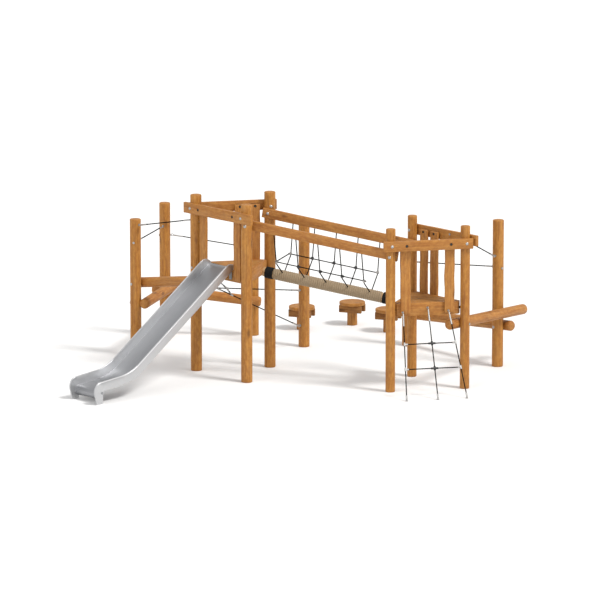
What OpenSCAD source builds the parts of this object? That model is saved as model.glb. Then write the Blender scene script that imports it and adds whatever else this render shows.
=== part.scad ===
// Timber climbing set: two towers, a swinging log bridge, a slide, a rope
// ladder, balance logs, handrail ropes, a climbing net and three stools.
// Units are millimetres. The origin is on the ground under the front post of
// tower A. +X runs along the ladder side of tower B and +Z is up.

/* [Layout] */
// Side of the triangle that each tower's three posts stand on
tri = 1000; // [960:5:1040]
// Distance between the two towers, measured along the bridge
span = 1970; // [1900:10:2050]
// Height of tower A's deck
deck_a = 1468; // [1440:4:1500]
// Height of tower B's deck
deck_b = 1163; // [1140:4:1190]

/* [Posts] */
// Radius of tower A's posts and of the posts around it
post_r = 75; // [73:1:76]
// Radius of tower B's posts
slim_r = 63; // [61:1:64]
// Height of tower A's posts
post_a_h = 2375; // [2350:5:2500]
// Height of tower B's posts
post_b_h = 2165; // [2150:5:2300]

/* [Boards] */
// Thickness of the rails and of the bridge beams
rail_t = 45; // [40:1:48]
// Height of the slide-side rail
rail_h = 144; // [130:2:150]
// Thickness of the upright planks
plank_t = 38; // [30:1:40]
// Height of the board ring around each deck
fascia_h = 168; // [150:2:180]

/* [Bridge] */
// Height of the bridge beams' centre line at tower A's posts
beam_a_z = 2094; // [2080:2:2110]
// Height of the bridge beams' centre line at tower B's posts
beam_b_z = 1794; // [1780:2:1810]
// Height of a bridge beam's board
beam_h = 130; // [120:2:134]
// Distance between neighbouring rope pairs
rope_pitch = 300; // [280:5:310]
// Radius of the bare log
log_core_r = 62; // [58:1:64]
// Radius over the rope winding on the log
log_wrap_r = 75; // [72:1:78]

/* [Ropes] */
// Radius of every rope
rope_r = 8; // [6:0.5:9]
// Play around a rope where it hangs in a hole
rope_play = 4; // [3.5:0.5:5]

/* [Slide] */
// Outer distance between the slide's two side plates
slide_w = 486; // [470:2:500]
// Slope of the straight chute in degrees
slide_slope = 35.5; // [35.4:0.1:35.6]

/* [Balance logs] */
// Radius of the balance logs
walk_r = 69; // [60:1:72]

/* [Stools] */
// Diameter of a stool's seat
stool_d = 360; // [340:5:390]
// Height of a stool
stool_h = 330; // [300:5:400]

/* [Hidden] */
$fn = 32;

// plan of the posts: each point is a step from the one before it
function step(p, len, ang) = p + len * [cos(ang), sin(ang)];
bridge_dir = -30;
a_front = [0, 0];
a_left = step(a_front, tri, 120);
a_right = step(a_front, tri, 60);
b_left = step(a_front, span, bridge_dir);
b_back = step(a_right, span, bridge_dir);
b_right = step(b_left, tri, 0);
west_near = step(a_left, 1263, 118.6);
west_far = step(west_near, 1285, 61);
north_near = step(a_right, 1390, 58.4);
north_far = step(west_far, 1207, -7.5);
east_near = step(b_right, 1453, 58.3);
east_far = step(east_near, 1782, 118.7);
stool_1 = step(north_near, 1144, 79);
stool_2 = step(stool_1, 760, 11.2);
stool_3 = step(stool_2, 691, -57.3);

// each post: place, radius, height
A_LEFT = [a_left, post_r, post_a_h];
A_FRONT = [a_front, post_r, post_a_h];
A_RIGHT = [a_right, post_r, post_a_h];
B_LEFT = [b_left, slim_r, post_b_h];
B_RIGHT = [b_right, slim_r, post_b_h];
B_BACK = [b_back, slim_r, post_b_h];
WEST_NEAR = [west_near, post_r, 1868];
WEST_FAR = [west_far, post_r, 1862];
NORTH_NEAR = [north_near, post_r, 1700];
NORTH_FAR = [north_far, post_r, 1550];
EAST_NEAR = [east_near, post_r, 1986];
EAST_FAR = [east_far, post_r, 1420];

// a tower: centre, post radius, deck height, direction of its first post
apothem = tri * sqrt(3) / 6;
corner_r = tri / sqrt(3);
TOWER_A = [[0, corner_r], post_r, deck_a, -90];
TOWER_B = [b_left + [tri / 2, apothem], slim_r, deck_b, 90];
slide_side = 210;
bridge_side = -30;
back_side_a = 90;
ladder_side = -90;
back_side_b = 30;

// rails: tower, side, start and end past the side's middle, centre height, board height
notch = 10;
SLIDE_RAIL = [TOWER_A, slide_side, -tri / 2 - 127, tri / 2 + 200, 2200, rail_h];
BACK_RAIL_A = [TOWER_A, back_side_a, -tri / 2 - 110, tri / 2 + 95, 2186, rail_h - 4];
LADDER_RAIL = [TOWER_B, ladder_side, -tri / 2 - 113, tri / 2 + 85, 1942, rail_h - 4];
BACK_RAIL_B = [TOWER_B, back_side_b, -tri / 2 - 148, tri / 2 + 100, 1972, rail_h];

// planks: rail, place along the side, width
plank_w = 150;
SLIDE_PLANKS = [[SLIDE_RAIL, -341, plank_w], [SLIDE_RAIL, 335, plank_w]];
BACK_PLANKS_A = [[BACK_RAIL_A, -300, plank_w], [BACK_RAIL_A, -95, plank_w]];
LADDER_PLANKS = [[LADDER_RAIL, -305, plank_w], [LADDER_RAIL, 287, plank_w]];
BACK_PLANKS_B = [[BACK_RAIL_B, 288, plank_w], [BACK_RAIL_B, 91, plank_w]];
ALL_PLANKS = concat(SLIDE_PLANKS, BACK_PLANKS_A, LADDER_PLANKS, BACK_PLANKS_B);
plank_lift = 30;
plank_top_gap = 45;

// decks
fascia_in = 10;
fascia_t = 45;
board_t = 35;
board_w = 118;
board_gap = 6;
post_gap = 18;
joist_h = 95;
joist_w = 70;
plank_out = plank_t - fascia_in;

// bolts
bolt_r = 6;
bolt_play = 0.5;
dome_r = 21;
dome_h = 12;
dome_curve = (dome_r * dome_r + dome_h * dome_h) / (2 * dome_h);
head_r = 15;
head_t = 8;
recess_r = 20;
recess_d = 14;
rod_r = 8;
collar_r = 17;
shank_past = 9;
washer_t = 4;

// bridge: x runs outward from tower A's bridge side, y from the front beam to the back beam
beam_drop = (beam_a_z - beam_b_z) / span;
beam_slope = atan(beam_drop);
beam_over = 74;
beam_y = tri / 2 - 82.5;
beam_len = (span + 2 * beam_over) / cos(beam_slope);
function beam_z(s) = beam_a_z - beam_drop * s;
function beam_under(s) = beam_z(s) - beam_h / 2 / cos(beam_slope);
log_below = 690;
function log_z(s) = beam_z(s) - log_below;
log_gap_a = 70;
log_gap_b = 105;
log_mid = (span + log_gap_a - log_gap_b) / 2;
log_len = (span - log_gap_a - log_gap_b) / cos(beam_slope);
buffer_len = 108;
buffer_in = 36;
buffer_r = log_wrap_r + 2;

// rope pairs: height of the swing pivot, the bend and the end in the log
pivot_up = 10;
rope_s0 = 350;
function rope_s(k) = rope_s0 + (k - 1) * rope_pitch;
function pivot_z(k) = beam_under(rope_s(k)) + pivot_up;
bend_below = 405;
end_above = 52;
function bend_z(k) = beam_under(rope_s(k)) - bend_below;
function end_z(k) = log_z(rope_s(k)) + end_above;
bend_y = 310;
end_y = 50;
side_y = bend_y - 18;
side_up = 22;
sleeve_h = 30;

// balance logs: two posts, heights on them, side of each post (1 left, -1 right), overshoots
WALK_1 = [A_LEFT, 1195, -1, WEST_NEAR, 985, -1, 20, 90];
WALK_2 = [WEST_NEAR, 720, -1, WEST_FAR, 730, -1, 50, 25];
WALK_3 = [WEST_FAR, 625, 1, NORTH_FAR, 500, -1, 170, 95];
WALK_4 = [B_RIGHT, 860, 1, EAST_NEAR, 740, -1, 208, 485];
WALK_5 = [EAST_NEAR, 540, -1, EAST_FAR, 410, -1, 140, 90];
ALL_WALKS = [WALK_1, WALK_2, WALK_3, WALK_4, WALK_5];
walk_notch = 12;
walk_round = 16;

// handrail and net ropes that run from one post to another: post, height, post, height
HANDRAILS = [
    [A_LEFT, 2020, WEST_NEAR, 1797],
    [WEST_NEAR, 1553, WEST_FAR, 1548],
    [WEST_FAR, 1414, NORTH_FAR, 1230],
    [EAST_NEAR, 1340, EAST_FAR, 1170]
];
NET_LINE = [A_LEFT, 1105, NORTH_NEAR, 790];
net_low_z = 300;
net_high_z = 1400;
net_fork = 0.15;
net_knot = 0.2555;
net_end = 0.304;
eye_out = 12;
eye_r = 15;
eye_wire = 4.5;
sleeve_r = 11;
sleeve_len = 130;
rope_fit = 0.2;
rope_from = eye_r + eye_wire + 3;

// the rope from the back rail of tower B to the near east post
rail_rope_y = -155;
rail_rope_z = 1995;
rail_rope_end_z = 1510;
rail_face = apothem + slim_r - notch + rail_t;

// rope ladder: eye places (along the side, height, outward), anchor places, heights of the rows
LADDER_TOPS = [[-343, 1054, plank_out], [0, 1097, -fascia_in], [270, 1054, plank_out]];
LADDER_FEET = [[-427, 615], [-10, 615], [378, 615]];
LADDER_ROWS = [675, 378];
anchor_r = 17;
socket_r = 12;
socket_h = 34;
ladder_sleeve = 170;

// slide profile
slide_plate = 6;
slide_depth = 128;
slide_top = 1550;
bed_drop = 112;

// ---- helpers ----

function at(post, z) = [post[0].x, post[0].y, z];
function unit(v) = v / norm(v);
function along(p, q, d) = p + unit(q - p) * d;

// moves into a tower side's frame: x outward, y along the side from its middle
module at_side(tower, side) {
    translate([tower[0].x, tower[0].y, 0]) rotate([0, 0, side]) children();
}

// moves into the bridge's frame: x from tower A's side line to tower B's
module at_bridge() {
    at_side(TOWER_A, bridge_side) translate([apothem, 0, 0]) children();
}

// a round bar from p to q
module bar(p, q, r) {
    v = q - p;
    tilt = acos(v.z / norm(v));
    turn = (abs(v.x) + abs(v.y) > 0) ? atan2(v.y, v.x) : 0;
    translate(p) rotate([0, tilt, turn]) cylinder(h = norm(v), r = r);
}

// a ring that stands on the line from p to q, its centre at p
module eye_ring(p, q) {
    v = q - p;
    translate(p) rotate([0, 0, atan2(v.y, v.x)]) rotate([90, 0, 0])
        rotate_extrude() translate([eye_r, 0]) circle(r = eye_wire);
}

// domed bolt head that stands on z = 0
module dome() {
    rotate_extrude() intersection() {
        translate([0, dome_h - dome_curve]) circle(r = dome_curve);
        square([dome_r, dome_h]);
    }
}

// ---- posts ----

module post_shape(post) {
    chamfer = 9;
    r = post[1];
    h = post[2];
    translate([post[0].x, post[0].y, 0])
        rotate_extrude() polygon([[0, 0], [r, 0], [r, h - chamfer], [r - chamfer, h], [0, h]]);
}

module rail_shape(rail) {
    inner = apothem + rail[0][1] - notch;
    at_side(rail[0], rail[1])
        translate([inner, rail[2], rail[4] - rail[5] / 2])
            cube([rail_t, rail[3] - rail[2], rail[5]]);
}

module beam_shape(dir) {
    at_bridge()
        translate([span / 2, dir * beam_y, beam_z(span / 2)]) rotate([0, beam_slope, 0])
            cube([beam_len, rail_t, beam_h], center = true);
}

// children are placed at each rail bolt: z points inward from the rail's outer face
module each_rail_bolt() {
    for (rail = [SLIDE_RAIL, BACK_RAIL_A, LADDER_RAIL, BACK_RAIL_B])
        for (y = [-tri / 2, tri / 2])
            at_side(rail[0], rail[1])
                translate([apothem + rail[0][1] - notch + rail_t, y, rail[4]]) rotate([0, -90, 0])
                    bolt_through(rail[0][1] * 2 - notch + rail_t) children();
}

module bolt_through(len) {
    $bolt_len = len;
    children();
}

// children are placed at each beam bolt: z points from the beam's inner face to the post
module each_beam_bolt() {
    for (s = [0, span])
        for (dir = [-1, 1])
            at_bridge() translate([s, dir * (beam_y - rail_t / 2), beam_z(s)]) rotate([-90 * dir, 0, 0])
                bolt_through(tri / 2 + (s == 0 ? post_r : slim_r) - beam_y + rail_t / 2) children();
}

module bolt_hole() {
    translate([0, 0, -1]) cylinder(h = $bolt_len + 2, r = bolt_r + bolt_play);
}

module through_bolt() {
    translate([0, 0, -0.2]) cylinder(h = $bolt_len + 0.4, r = bolt_r);
    mirror([0, 0, 1]) dome();
    translate([0, 0, $bolt_len]) dome();
}

// a deck's tie rods: children run along +x from the corner post's axis towards the deck
module each_corner(tower) {
    for (turn = [0, 120, 240])
        translate([tower[0].x, tower[0].y, tower[2] - fascia_h / 2])
            rotate([0, 0, tower[3] + turn])
                translate([corner_r, 0, 0]) rotate([0, 0, 180]) children();
}

module tie_rod(r, play) {
    rod_end = r + post_gap + fascia_t - 6;
    rod_start = r * 0.4;
    translate([-rod_start - play, 0, 0]) rotate([0, 90, 0])
        cylinder(h = rod_start + rod_end + 2 * play, r = rod_r + play);
}

// eye bolts in posts: post, height, the point that the eye faces
function ends_of(line) =
    [[line[0], line[1], at(line[2], line[3])], [line[2], line[3], at(line[0], line[1])]];
HANDRAIL_EYES = concat(
    [for (line = HANDRAILS) each ends_of(line)],
    [[EAST_NEAR, rail_rope_end_z, rail_eye()]]
);
NET_EYES = concat(
    ends_of(NET_LINE),
    [[A_LEFT, net_high_z, at(NORTH_NEAR, 0)], [NORTH_NEAR, net_low_z, at(A_LEFT, 0)]]
);

// level unit vector from a post towards a point, and the centre of the eye's ring
function facing(post, q) = unit([q.x - post[0].x, q.y - post[0].y, 0]);
function eye_centre(post, z, q) = at(post, z) + facing(post, q) * (post[1] + eye_out + eye_r);

module eye_shank(eye, play) {
    out = facing(eye[0], eye[2]);
    p = at(eye[0], eye[1]);
    bar(p - out * (eye[0][1] + shank_past + play), p + out * (eye[0][1] + eye_out + play), bolt_r + play);
}

module eye_holes(post) {
    for (eye = concat(HANDRAIL_EYES, NET_EYES))
        if (eye[0] == post)
            eye_shank(eye, bolt_play);
}

// balance log end points
function walk_dir(w) = unit(w[3][0] - w[0][0]);
function walk_off(post) = post[1] + walk_r - walk_notch;
function left_of(v) = [-v.y, v.x];
function walk_p(w) = concat(w[0][0] + left_of(walk_dir(w)) * w[2] * walk_off(w[0]), [w[1]]);
function walk_q(w) = concat(w[3][0] + left_of(walk_dir(w)) * w[5] * walk_off(w[3]), [w[4]]);

module walk_shape(w) {
    p = along(walk_p(w), walk_q(w), -w[6]);
    q = along(walk_q(w), walk_p(w), -w[7]);
    v = q - p;
    translate(p) rotate([0, acos(v.z / norm(v)), atan2(v.y, v.x)])
        rotate_extrude() polygon([
            [0, 0], [walk_r - walk_round, 0], [walk_r, walk_round],
            [walk_r, norm(v) - walk_round], [walk_r - walk_round, norm(v)], [0, norm(v)]
        ]);
}

// a balance log's bolt at one of its posts: the end under its head, and the end past the post
recess_in = recess_d + 3;
tail_out = 6;
tail_r = 18;
function walk_out(w, side) = left_of(walk_dir(w)) * side;
function walk_head(w, post, z, side) =
    concat(post[0] + walk_out(w, side) * (walk_off(post) + walk_r - recess_in), [z]);
function walk_tail(w, post, z, side, past) =
    concat(post[0] - walk_out(w, side) * (post[1] + past), [z]);

module walk_bolt_hole(w, post, z, side) {
    head = walk_head(w, post, z, side);
    tail = walk_tail(w, post, z, side, tail_out);
    bar(along(head, tail, -bolt_play), along(tail, head, -bolt_play), bolt_r + bolt_play);
}

module walk_bolt(w, post, z, side) {
    head = walk_head(w, post, z, side);
    tail = walk_tail(w, post, z, side, tail_out);
    bar(head, tail, bolt_r);
    bar(head, along(head, tail, -head_t), head_r - 1);
    bar(walk_tail(w, post, z, side, 0), tail, tail_r);
}

module walk_recess(w, post, z, side) {
    head = walk_head(w, post, z, side);
    bar(head, along(head, walk_tail(w, post, z, side, 0), -recess_in - 2), recess_r);
}

module tower_post(post, tower, rails, beam) {
    color("peru") difference() {
        post_shape(post);
        for (rail = rails) rail_shape(rail);
        beam_shape(beam);
        each_rail_bolt() bolt_hole();
        each_beam_bolt() bolt_hole();
        each_corner(tower) tie_rod(tower[1], bolt_play);
        eye_holes(post);
        for (w = ALL_WALKS)
            if (w[0] == post)
                walk_cut(w, post, w[1], w[2]);
    }
}

module walk_cut(w, post, z, side) {
    walk_shape(w);
    walk_bolt_hole(w, post, z, side);
}

module outer_post(post) {
    color("peru") difference() {
        post_shape(post);
        eye_holes(post);
        for (w = ALL_WALKS) {
            if (w[0] == post)
                walk_cut(w, post, w[1], w[2]);
            if (w[3] == post)
                walk_cut(w, post, w[4], w[5]);
        }
    }
}

module tower_a_post_left() {
    tower_post(A_LEFT, TOWER_A, [SLIDE_RAIL, BACK_RAIL_A], 1);
}

module tower_a_post_front() {
    tower_post(A_FRONT, TOWER_A, [SLIDE_RAIL], -1);
}

module tower_a_post_right() {
    tower_post(A_RIGHT, TOWER_A, [BACK_RAIL_A], 1);
}

module tower_b_post_left() {
    tower_post(B_LEFT, TOWER_B, [LADDER_RAIL], -1);
}

module tower_b_post_right() {
    tower_post(B_RIGHT, TOWER_B, [LADDER_RAIL, BACK_RAIL_B], 1);
}

module tower_b_post_back() {
    tower_post(B_BACK, TOWER_B, [BACK_RAIL_B], 1);
}

module west_post_near() {
    outer_post(WEST_NEAR);
}

module west_post_far() {
    outer_post(WEST_FAR);
}

module north_post_near() {
    outer_post(NORTH_NEAR);
}

module north_post_far() {
    outer_post(NORTH_FAR);
}

module east_post_near() {
    outer_post(EAST_NEAR);
}

module east_post_far() {
    outer_post(EAST_FAR);
}

// ---- decks ----

// the deck's six-sided outline: a triangle with its corners cut off short of the posts
module deck_outline(tower, inset) {
    cut = corner_r - tower[1] - post_gap - inset;
    intersection() {
        rotate(tower[3]) circle(r = 2 * (apothem - fascia_in - inset), $fn = 3);
        rotate(tower[3] + 180) circle(r = 2 * cut, $fn = 3);
    }
}

// thin saw cuts at the mitres between the ring's boards
module mitres(tower) {
    gap = tower[1] + post_gap;
    outer = (gap - fascia_in / 2) / cos(30) * sin(30) - fascia_in * cos(30);
    for (turn = [0, 120, 240])
        for (dir = [-1, 1])
            rotate(tower[3] + turn)
                translate([corner_r - gap, dir * outer]) rotate(dir * 30)
                    square([2 * fascia_t + 40, 0.6], center = true);
}

module deck_ring(tower) {
    color("peru") difference() {
        translate([tower[0].x, tower[0].y, tower[2] - fascia_h]) linear_extrude(fascia_h)
            difference() {
                deck_outline(tower, 0);
                deck_outline(tower, fascia_t);
                mitres(tower);
            }
        each_corner(tower) tie_rod(tower[1], bolt_play);
        ladder_eye_holes();
    }
}

module ladder_eye_holes() {
    for (top = LADDER_TOPS) ladder_eye_bolt(top, bolt_play);
}

module deck_boards(tower) {
    rows = 7;
    pitch = board_w + board_gap;
    color("sandybrown") translate([tower[0].x, tower[0].y, tower[2] - board_t])
        linear_extrude(board_t) intersection() {
            deck_outline(tower, fascia_t + 1);
            rotate(tower[3]) for (k = [0:rows - 1])
                translate([(k - (rows - 1) / 2) * pitch - board_w / 2, -tri / 2]) square([board_w, tri]);
        }
}

module joists(tower) {
    color("sienna") translate([tower[0].x, tower[0].y, tower[2] - board_t - joist_h])
        linear_extrude(joist_h) intersection() {
            deck_outline(tower, fascia_t + 1);
            rotate(tower[3]) for (y = [-150, 150])
                translate([-tri / 2, y - joist_w / 2]) square([tri, joist_w]);
        }
}

module tower_a_deck_boards() {
    deck_boards(TOWER_A);
}

module tower_a_deck_ring() {
    deck_ring(TOWER_A);
}

module tower_a_joists() {
    joists(TOWER_A);
}

module tower_b_deck_boards() {
    deck_boards(TOWER_B);
}

module tower_b_deck_ring() {
    deck_ring(TOWER_B);
}

module tower_b_joists() {
    joists(TOWER_B);
}

module deck_tie_rods() {
    color("dimgray") for (tower = [TOWER_A, TOWER_B])
        each_corner(tower) {
            tie_rod(tower[1], 0);
            translate([tower[1] + 1, 0, 0]) rotate([0, 90, 0]) cylinder(h = post_gap - 2, r = collar_r);
        }
}

// ---- rails and planks ----

// children are placed at each plank bolt: z points inward from the rail's outer face
module each_plank_bolt(planks) {
    for (plank = planks) {
        rail = plank[0];
        outer = apothem + rail[0][1] - notch + rail_t;
        at_side(rail[0], rail[1]) translate([outer, plank[1], rail[4]]) rotate([0, -90, 0])
            bolt_through(outer - apothem + fascia_in) children();
    }
}

module plank_bolt_hole() {
    translate([0, 0, -1]) cylinder(h = $bolt_len + 2, r = bolt_r + bolt_play);
    translate([0, 0, -1]) cylinder(h = recess_d + 1, r = recess_r);
    translate([0, 0, $bolt_len - recess_d]) cylinder(h = recess_d + 1, r = recess_r);
}

module rail_board(rail) {
    color("peru") difference() {
        rail_shape(rail);
        each_rail_bolt() bolt_hole();
        each_plank_bolt(ALL_PLANKS) plank_bolt_hole();
        if (rail == BACK_RAIL_B)
            rail_rope_bolt(bolt_play);
    }
}

module slide_rail() {
    rail_board(SLIDE_RAIL);
}

module tower_a_back_rail() {
    rail_board(BACK_RAIL_A);
}

module ladder_rail() {
    rail_board(LADDER_RAIL);
}

module tower_b_back_rail() {
    rail_board(BACK_RAIL_B);
}

module plank_boards(planks) {
    color("peru") difference() {
        for (plank = planks) {
            rail = plank[0];
            bottom = rail[0][2] - fascia_h + plank_lift;
            top = rail[4] + rail[5] / 2 - plank_top_gap;
            at_side(rail[0], rail[1])
                translate([apothem - fascia_in, plank[1] - plank[2] / 2, bottom])
                    cube([plank_t, plank[2], top - bottom]);
        }
        each_plank_bolt(planks) plank_bolt_hole();
        ladder_eye_holes();
    }
}

module tower_a_planks() {
    plank_boards(concat(SLIDE_PLANKS, BACK_PLANKS_A));
}

module tower_b_planks() {
    plank_boards(concat(LADDER_PLANKS, BACK_PLANKS_B));
}

module plank_spacers() {
    spacer_w = 66;
    color("saddlebrown") difference() {
        for (plank = ALL_PLANKS) {
            rail = plank[0];
            depth = rail[0][1] - notch - plank_out;
            at_side(rail[0], rail[1])
                translate([apothem + plank_out, plank[1] - spacer_w / 2, rail[4] - spacer_w / 2])
                    cube([depth, spacer_w, spacer_w]);
        }
        each_plank_bolt(ALL_PLANKS) bolt_hole();
    }
}

module plank_bolts() {
    color("black") each_plank_bolt(ALL_PLANKS) {
        translate([0, 0, 4]) cylinder(h = $bolt_len - 8, r = bolt_r);
        translate([0, 0, recess_d - head_t]) cylinder(h = head_t, r = head_r + 1);
        translate([0, 0, $bolt_len - recess_d]) cylinder(h = head_t, r = head_r + 1);
    }
}

module frame_bolts() {
    color("silver") {
        each_rail_bolt() through_bolt();
        each_beam_bolt() through_bolt();
    }
}

// ---- bridge ----

module rope_holes(dir) {
    at_bridge() for (k = [1:5])
        translate([rope_s(k), dir * beam_y, beam_under(rope_s(k)) - 12])
            cylinder(h = 50, r = rope_r + rope_play + 1);
}

module bridge_beam(dir) {
    color("peru") difference() {
        beam_shape(dir);
        each_beam_bolt() bolt_hole();
        rope_holes(dir);
    }
}

module bridge_beam_front() {
    bridge_beam(-1);
}

module bridge_beam_back() {
    bridge_beam(1);
}

// a round bar on the log's axis, from one distance along it to another
module on_log(from, to, r) {
    at_bridge() translate([log_mid, 0, log_z(log_mid)]) rotate([0, 90 + beam_slope, 0])
        translate([0, 0, from - log_len / 2]) cylinder(h = to - from, r = r);
}

// one rope of a pair, in the bridge frame
function rope_top(k, dir) = [rope_s(k), dir * beam_y, pivot_z(k)];
function rope_bend(k, dir) = [rope_s(k), dir * bend_y, bend_z(k)];
function rope_end(k, dir) = [rope_s(k), dir * end_y, end_z(k)];

module log_rope_holes() {
    at_bridge() for (k = [1:5])
        for (dir = [-1, 1])
            bar(along(rope_end(k, dir), rope_bend(k, dir), -6),
                along(rope_end(k, dir), rope_bend(k, dir), 90), rope_r + rope_play);
}

module log_core() {
    chamfer = 8;
    color("burlywood") difference() {
        union() {
            on_log(chamfer, log_len - chamfer, log_core_r);
            on_log(0, log_len, log_core_r - chamfer);
        }
        log_rope_holes();
    }
}

module log_winding() {
    from = buffer_in + buffer_len + 1;
    color("tan") difference() {
        on_log(from, log_len - from, log_wrap_r);
        on_log(from - 1, log_len - from + 1, log_core_r + 0.3);
        log_rope_holes();
    }
}

module log_buffers() {
    color("black") for (start = [buffer_in, log_len - buffer_in - buffer_len])
        difference() {
            on_log(start, start + buffer_len, buffer_r);
            on_log(start - 1, start + buffer_len + 1, log_core_r + 0.3);
        }
}

module rope_pair(k) {
    color("black") at_bridge() for (dir = [-1, 1]) {
        bar(rope_top(k, dir), rope_bend(k, dir), rope_r);
        translate(rope_bend(k, dir)) sphere(r = rope_r);
        bar(along(rope_bend(k, dir), rope_end(k, dir), rope_r + 0.3), rope_end(k, dir), rope_r);
    }
}

module rope_pair_1() {
    rope_pair(1);
}

module rope_pair_2() {
    rope_pair(2);
}

module rope_pair_3() {
    rope_pair(3);
}

module rope_pair_4() {
    rope_pair(4);
}

module rope_pair_5() {
    rope_pair(5);
}

function side_point(k, dir) = [rope_s(k), dir * side_y, bend_z(k) + side_up];

cross_tie = 14;
side_step = [rope_pitch, 0, -rope_pitch * beam_drop];

module side_ropes() {
    tail = 26;
    color("black") at_bridge() {
        for (dir = [-1, 1])
            bar(along(side_point(1, dir), side_point(5, dir), -tail),
                along(side_point(5, dir), side_point(1, dir), -tail), rope_r);
        side_tie(0);
    }
}

// the rope that ties the two side ropes together at their upper end
module side_tie(play) {
    bar(side_point(1, -1) - [cross_tie, 0, 0], side_point(1, 1) - [cross_tie, 0, 0], rope_r + play);
}

// children are placed for each hanging rope: $k is its station and $dir its side
module each_hanging_rope() {
    for ($k = [1:5])
        for ($dir = [-1, 1]) children();
}

// a bar along a hanging rope, from one distance above its bend to another
module up_the_rope(from, to, r) {
    bend = rope_bend($k, $dir);
    top = rope_top($k, $dir);
    bar(along(bend, top, from), along(bend, top, to), r);
}

// clamps that join the side ropes to the hanging ropes, with play for the swing
module side_rope_clamps() {
    hole = rope_r + rope_play;
    color("silver") at_bridge() difference() {
        each_hanging_rope() {
            up_the_rope(10, 10 + sleeve_h, hole + 4);
            bar(along(side_point($k, $dir), side_point($k, $dir) + side_step, -20),
                along(side_point($k, $dir), side_point($k, $dir) + side_step, 20), rope_r + 4);
        }
        each_hanging_rope() up_the_rope(-20, 70, hole);
        for (dir = [-1, 1])
            bar(along(side_point(1, dir), side_point(5, dir), -90),
                along(side_point(5, dir), side_point(1, dir), -90), rope_r + 0.1);
        side_tie(0.1);
        each_hanging_rope()
            bar(rope_bend($k, $dir), along(rope_bend($k, $dir), rope_end($k, $dir), 80), hole);
    }
}

// ---- balance logs ----

module walk_log(w) {
    color("peru") difference() {
        walk_shape(w);
        walk_bolt_hole(w, w[0], w[1], w[2]);
        walk_bolt_hole(w, w[3], w[4], w[5]);
        walk_recess(w, w[0], w[1], w[2]);
        walk_recess(w, w[3], w[4], w[5]);
    }
}

module balance_log_1() {
    walk_log(WALK_1);
}

module balance_log_2() {
    walk_log(WALK_2);
}

module balance_log_3() {
    walk_log(WALK_3);
}

module balance_log_4() {
    walk_log(WALK_4);
}

module balance_log_5() {
    walk_log(WALK_5);
}

module balance_log_bolts() {
    color("silver") for (w = ALL_WALKS) {
        walk_bolt(w, w[0], w[1], w[2]);
        walk_bolt(w, w[3], w[4], w[5]);
    }
}

// ---- ropes between posts ----

// eye bolt through a post: shank, nut, washer and ring
module post_eye(eye) {
    out = facing(eye[0], eye[2]);
    p = at(eye[0], eye[1]);
    r = eye[0][1];
    eye_shank(eye, 0);
    bar(p - out * (r + head_t), p - out * (r + 0.5), head_r);
    bar(p + out * (r + 0.5), p + out * (r + washer_t), head_r);
    eye_ring(eye_centre(eye[0], eye[1], eye[2]), eye[2]);
}

// swaged sleeve over the end of a rope, closed at the ring centred on p
module rope_sleeve(p, q, len) {
    difference() {
        bar(along(p, q, eye_r + eye_wire + 0.5), along(p, q, eye_r + len), sleeve_r);
        bar(along(p, q, rope_from - 0.2), along(p, q, eye_r + len + 1), rope_r + rope_fit);
    }
}

// clamp that holds the ends of branch ropes to a rope that runs from p towards a
clamp_t = 4;
tee_half = 24;
tee_bore = 120;
tee_grip = 26;
module tee(p, a, branches) {
    bore_r = rope_r + rope_fit;
    difference() {
        union() {
            bar(along(p, a, -tee_half), along(p, a, tee_half), rope_r + clamp_t + 1);
            for (q = branches) bar(p, along(p, q, branch_start(p, a, q) + tee_grip), rope_r + clamp_t);
        }
        bar(along(p, a, -tee_bore), along(p, a, tee_bore), bore_r);
        for (q = branches) {
            from = branch_start(p, a, q);
            bar(along(p, q, from - 1), along(p, q, from + tee_grip + 14), bore_r);
        }
    }
}

// how far from the clamp's centre a branch rope has to start to miss the other rope
function branch_start(p, a, q) = (2 * rope_r + 0.6) / (norm(cross(unit(a - p), unit(q - p))));

function line_start(line) = eye_centre(line[0], line[1], at(line[2], line[3]));
function line_end(line) = eye_centre(line[2], line[3], at(line[0], line[1]));

module rope_between(p, q, from, to) {
    bar(along(p, q, from), along(q, p, to), rope_r);
}

// the eye on the back rail of tower B
function rail_point(out) = [
    TOWER_B[0].x + (rail_face + out) * cos(back_side_b) - rail_rope_y * sin(back_side_b),
    TOWER_B[0].y + (rail_face + out) * sin(back_side_b) + rail_rope_y * cos(back_side_b),
    rail_rope_z
];
function rail_eye() = rail_point(eye_out + eye_r);
function rail_rope_foot() = eye_centre(EAST_NEAR, rail_rope_end_z, rail_eye());

module rail_rope_bolt(play) {
    bar(rail_point(eye_out + play), rail_point(-rail_t - shank_past - play), bolt_r + play);
}

module handrail_ropes() {
    color("black") {
        for (line = HANDRAILS) rope_between(line_start(line), line_end(line), rope_from, rope_from);
        rope_between(rail_eye(), rail_rope_foot(), rope_from, rope_from);
    }
}

module handrail_fittings() {
    color("silver") {
        for (eye = HANDRAIL_EYES) post_eye(eye);
        for (line = HANDRAILS) {
            rope_sleeve(line_start(line), line_end(line), sleeve_len);
            rope_sleeve(line_end(line), line_start(line), sleeve_len);
        }
        rail_rope_bolt(0);
        bar(rail_point(-rail_t - 0.4), rail_point(-rail_t - head_t), head_r);
        bar(rail_point(0.4), rail_point(washer_t), head_r);
        eye_ring(rail_eye(), rail_eye() + [cos(back_side_b), sin(back_side_b), 0]);
        rope_sleeve(rail_eye(), rail_rope_foot(), sleeve_len);
        rope_sleeve(rail_rope_foot(), rail_eye(), sleeve_len);
    }
}

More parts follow.
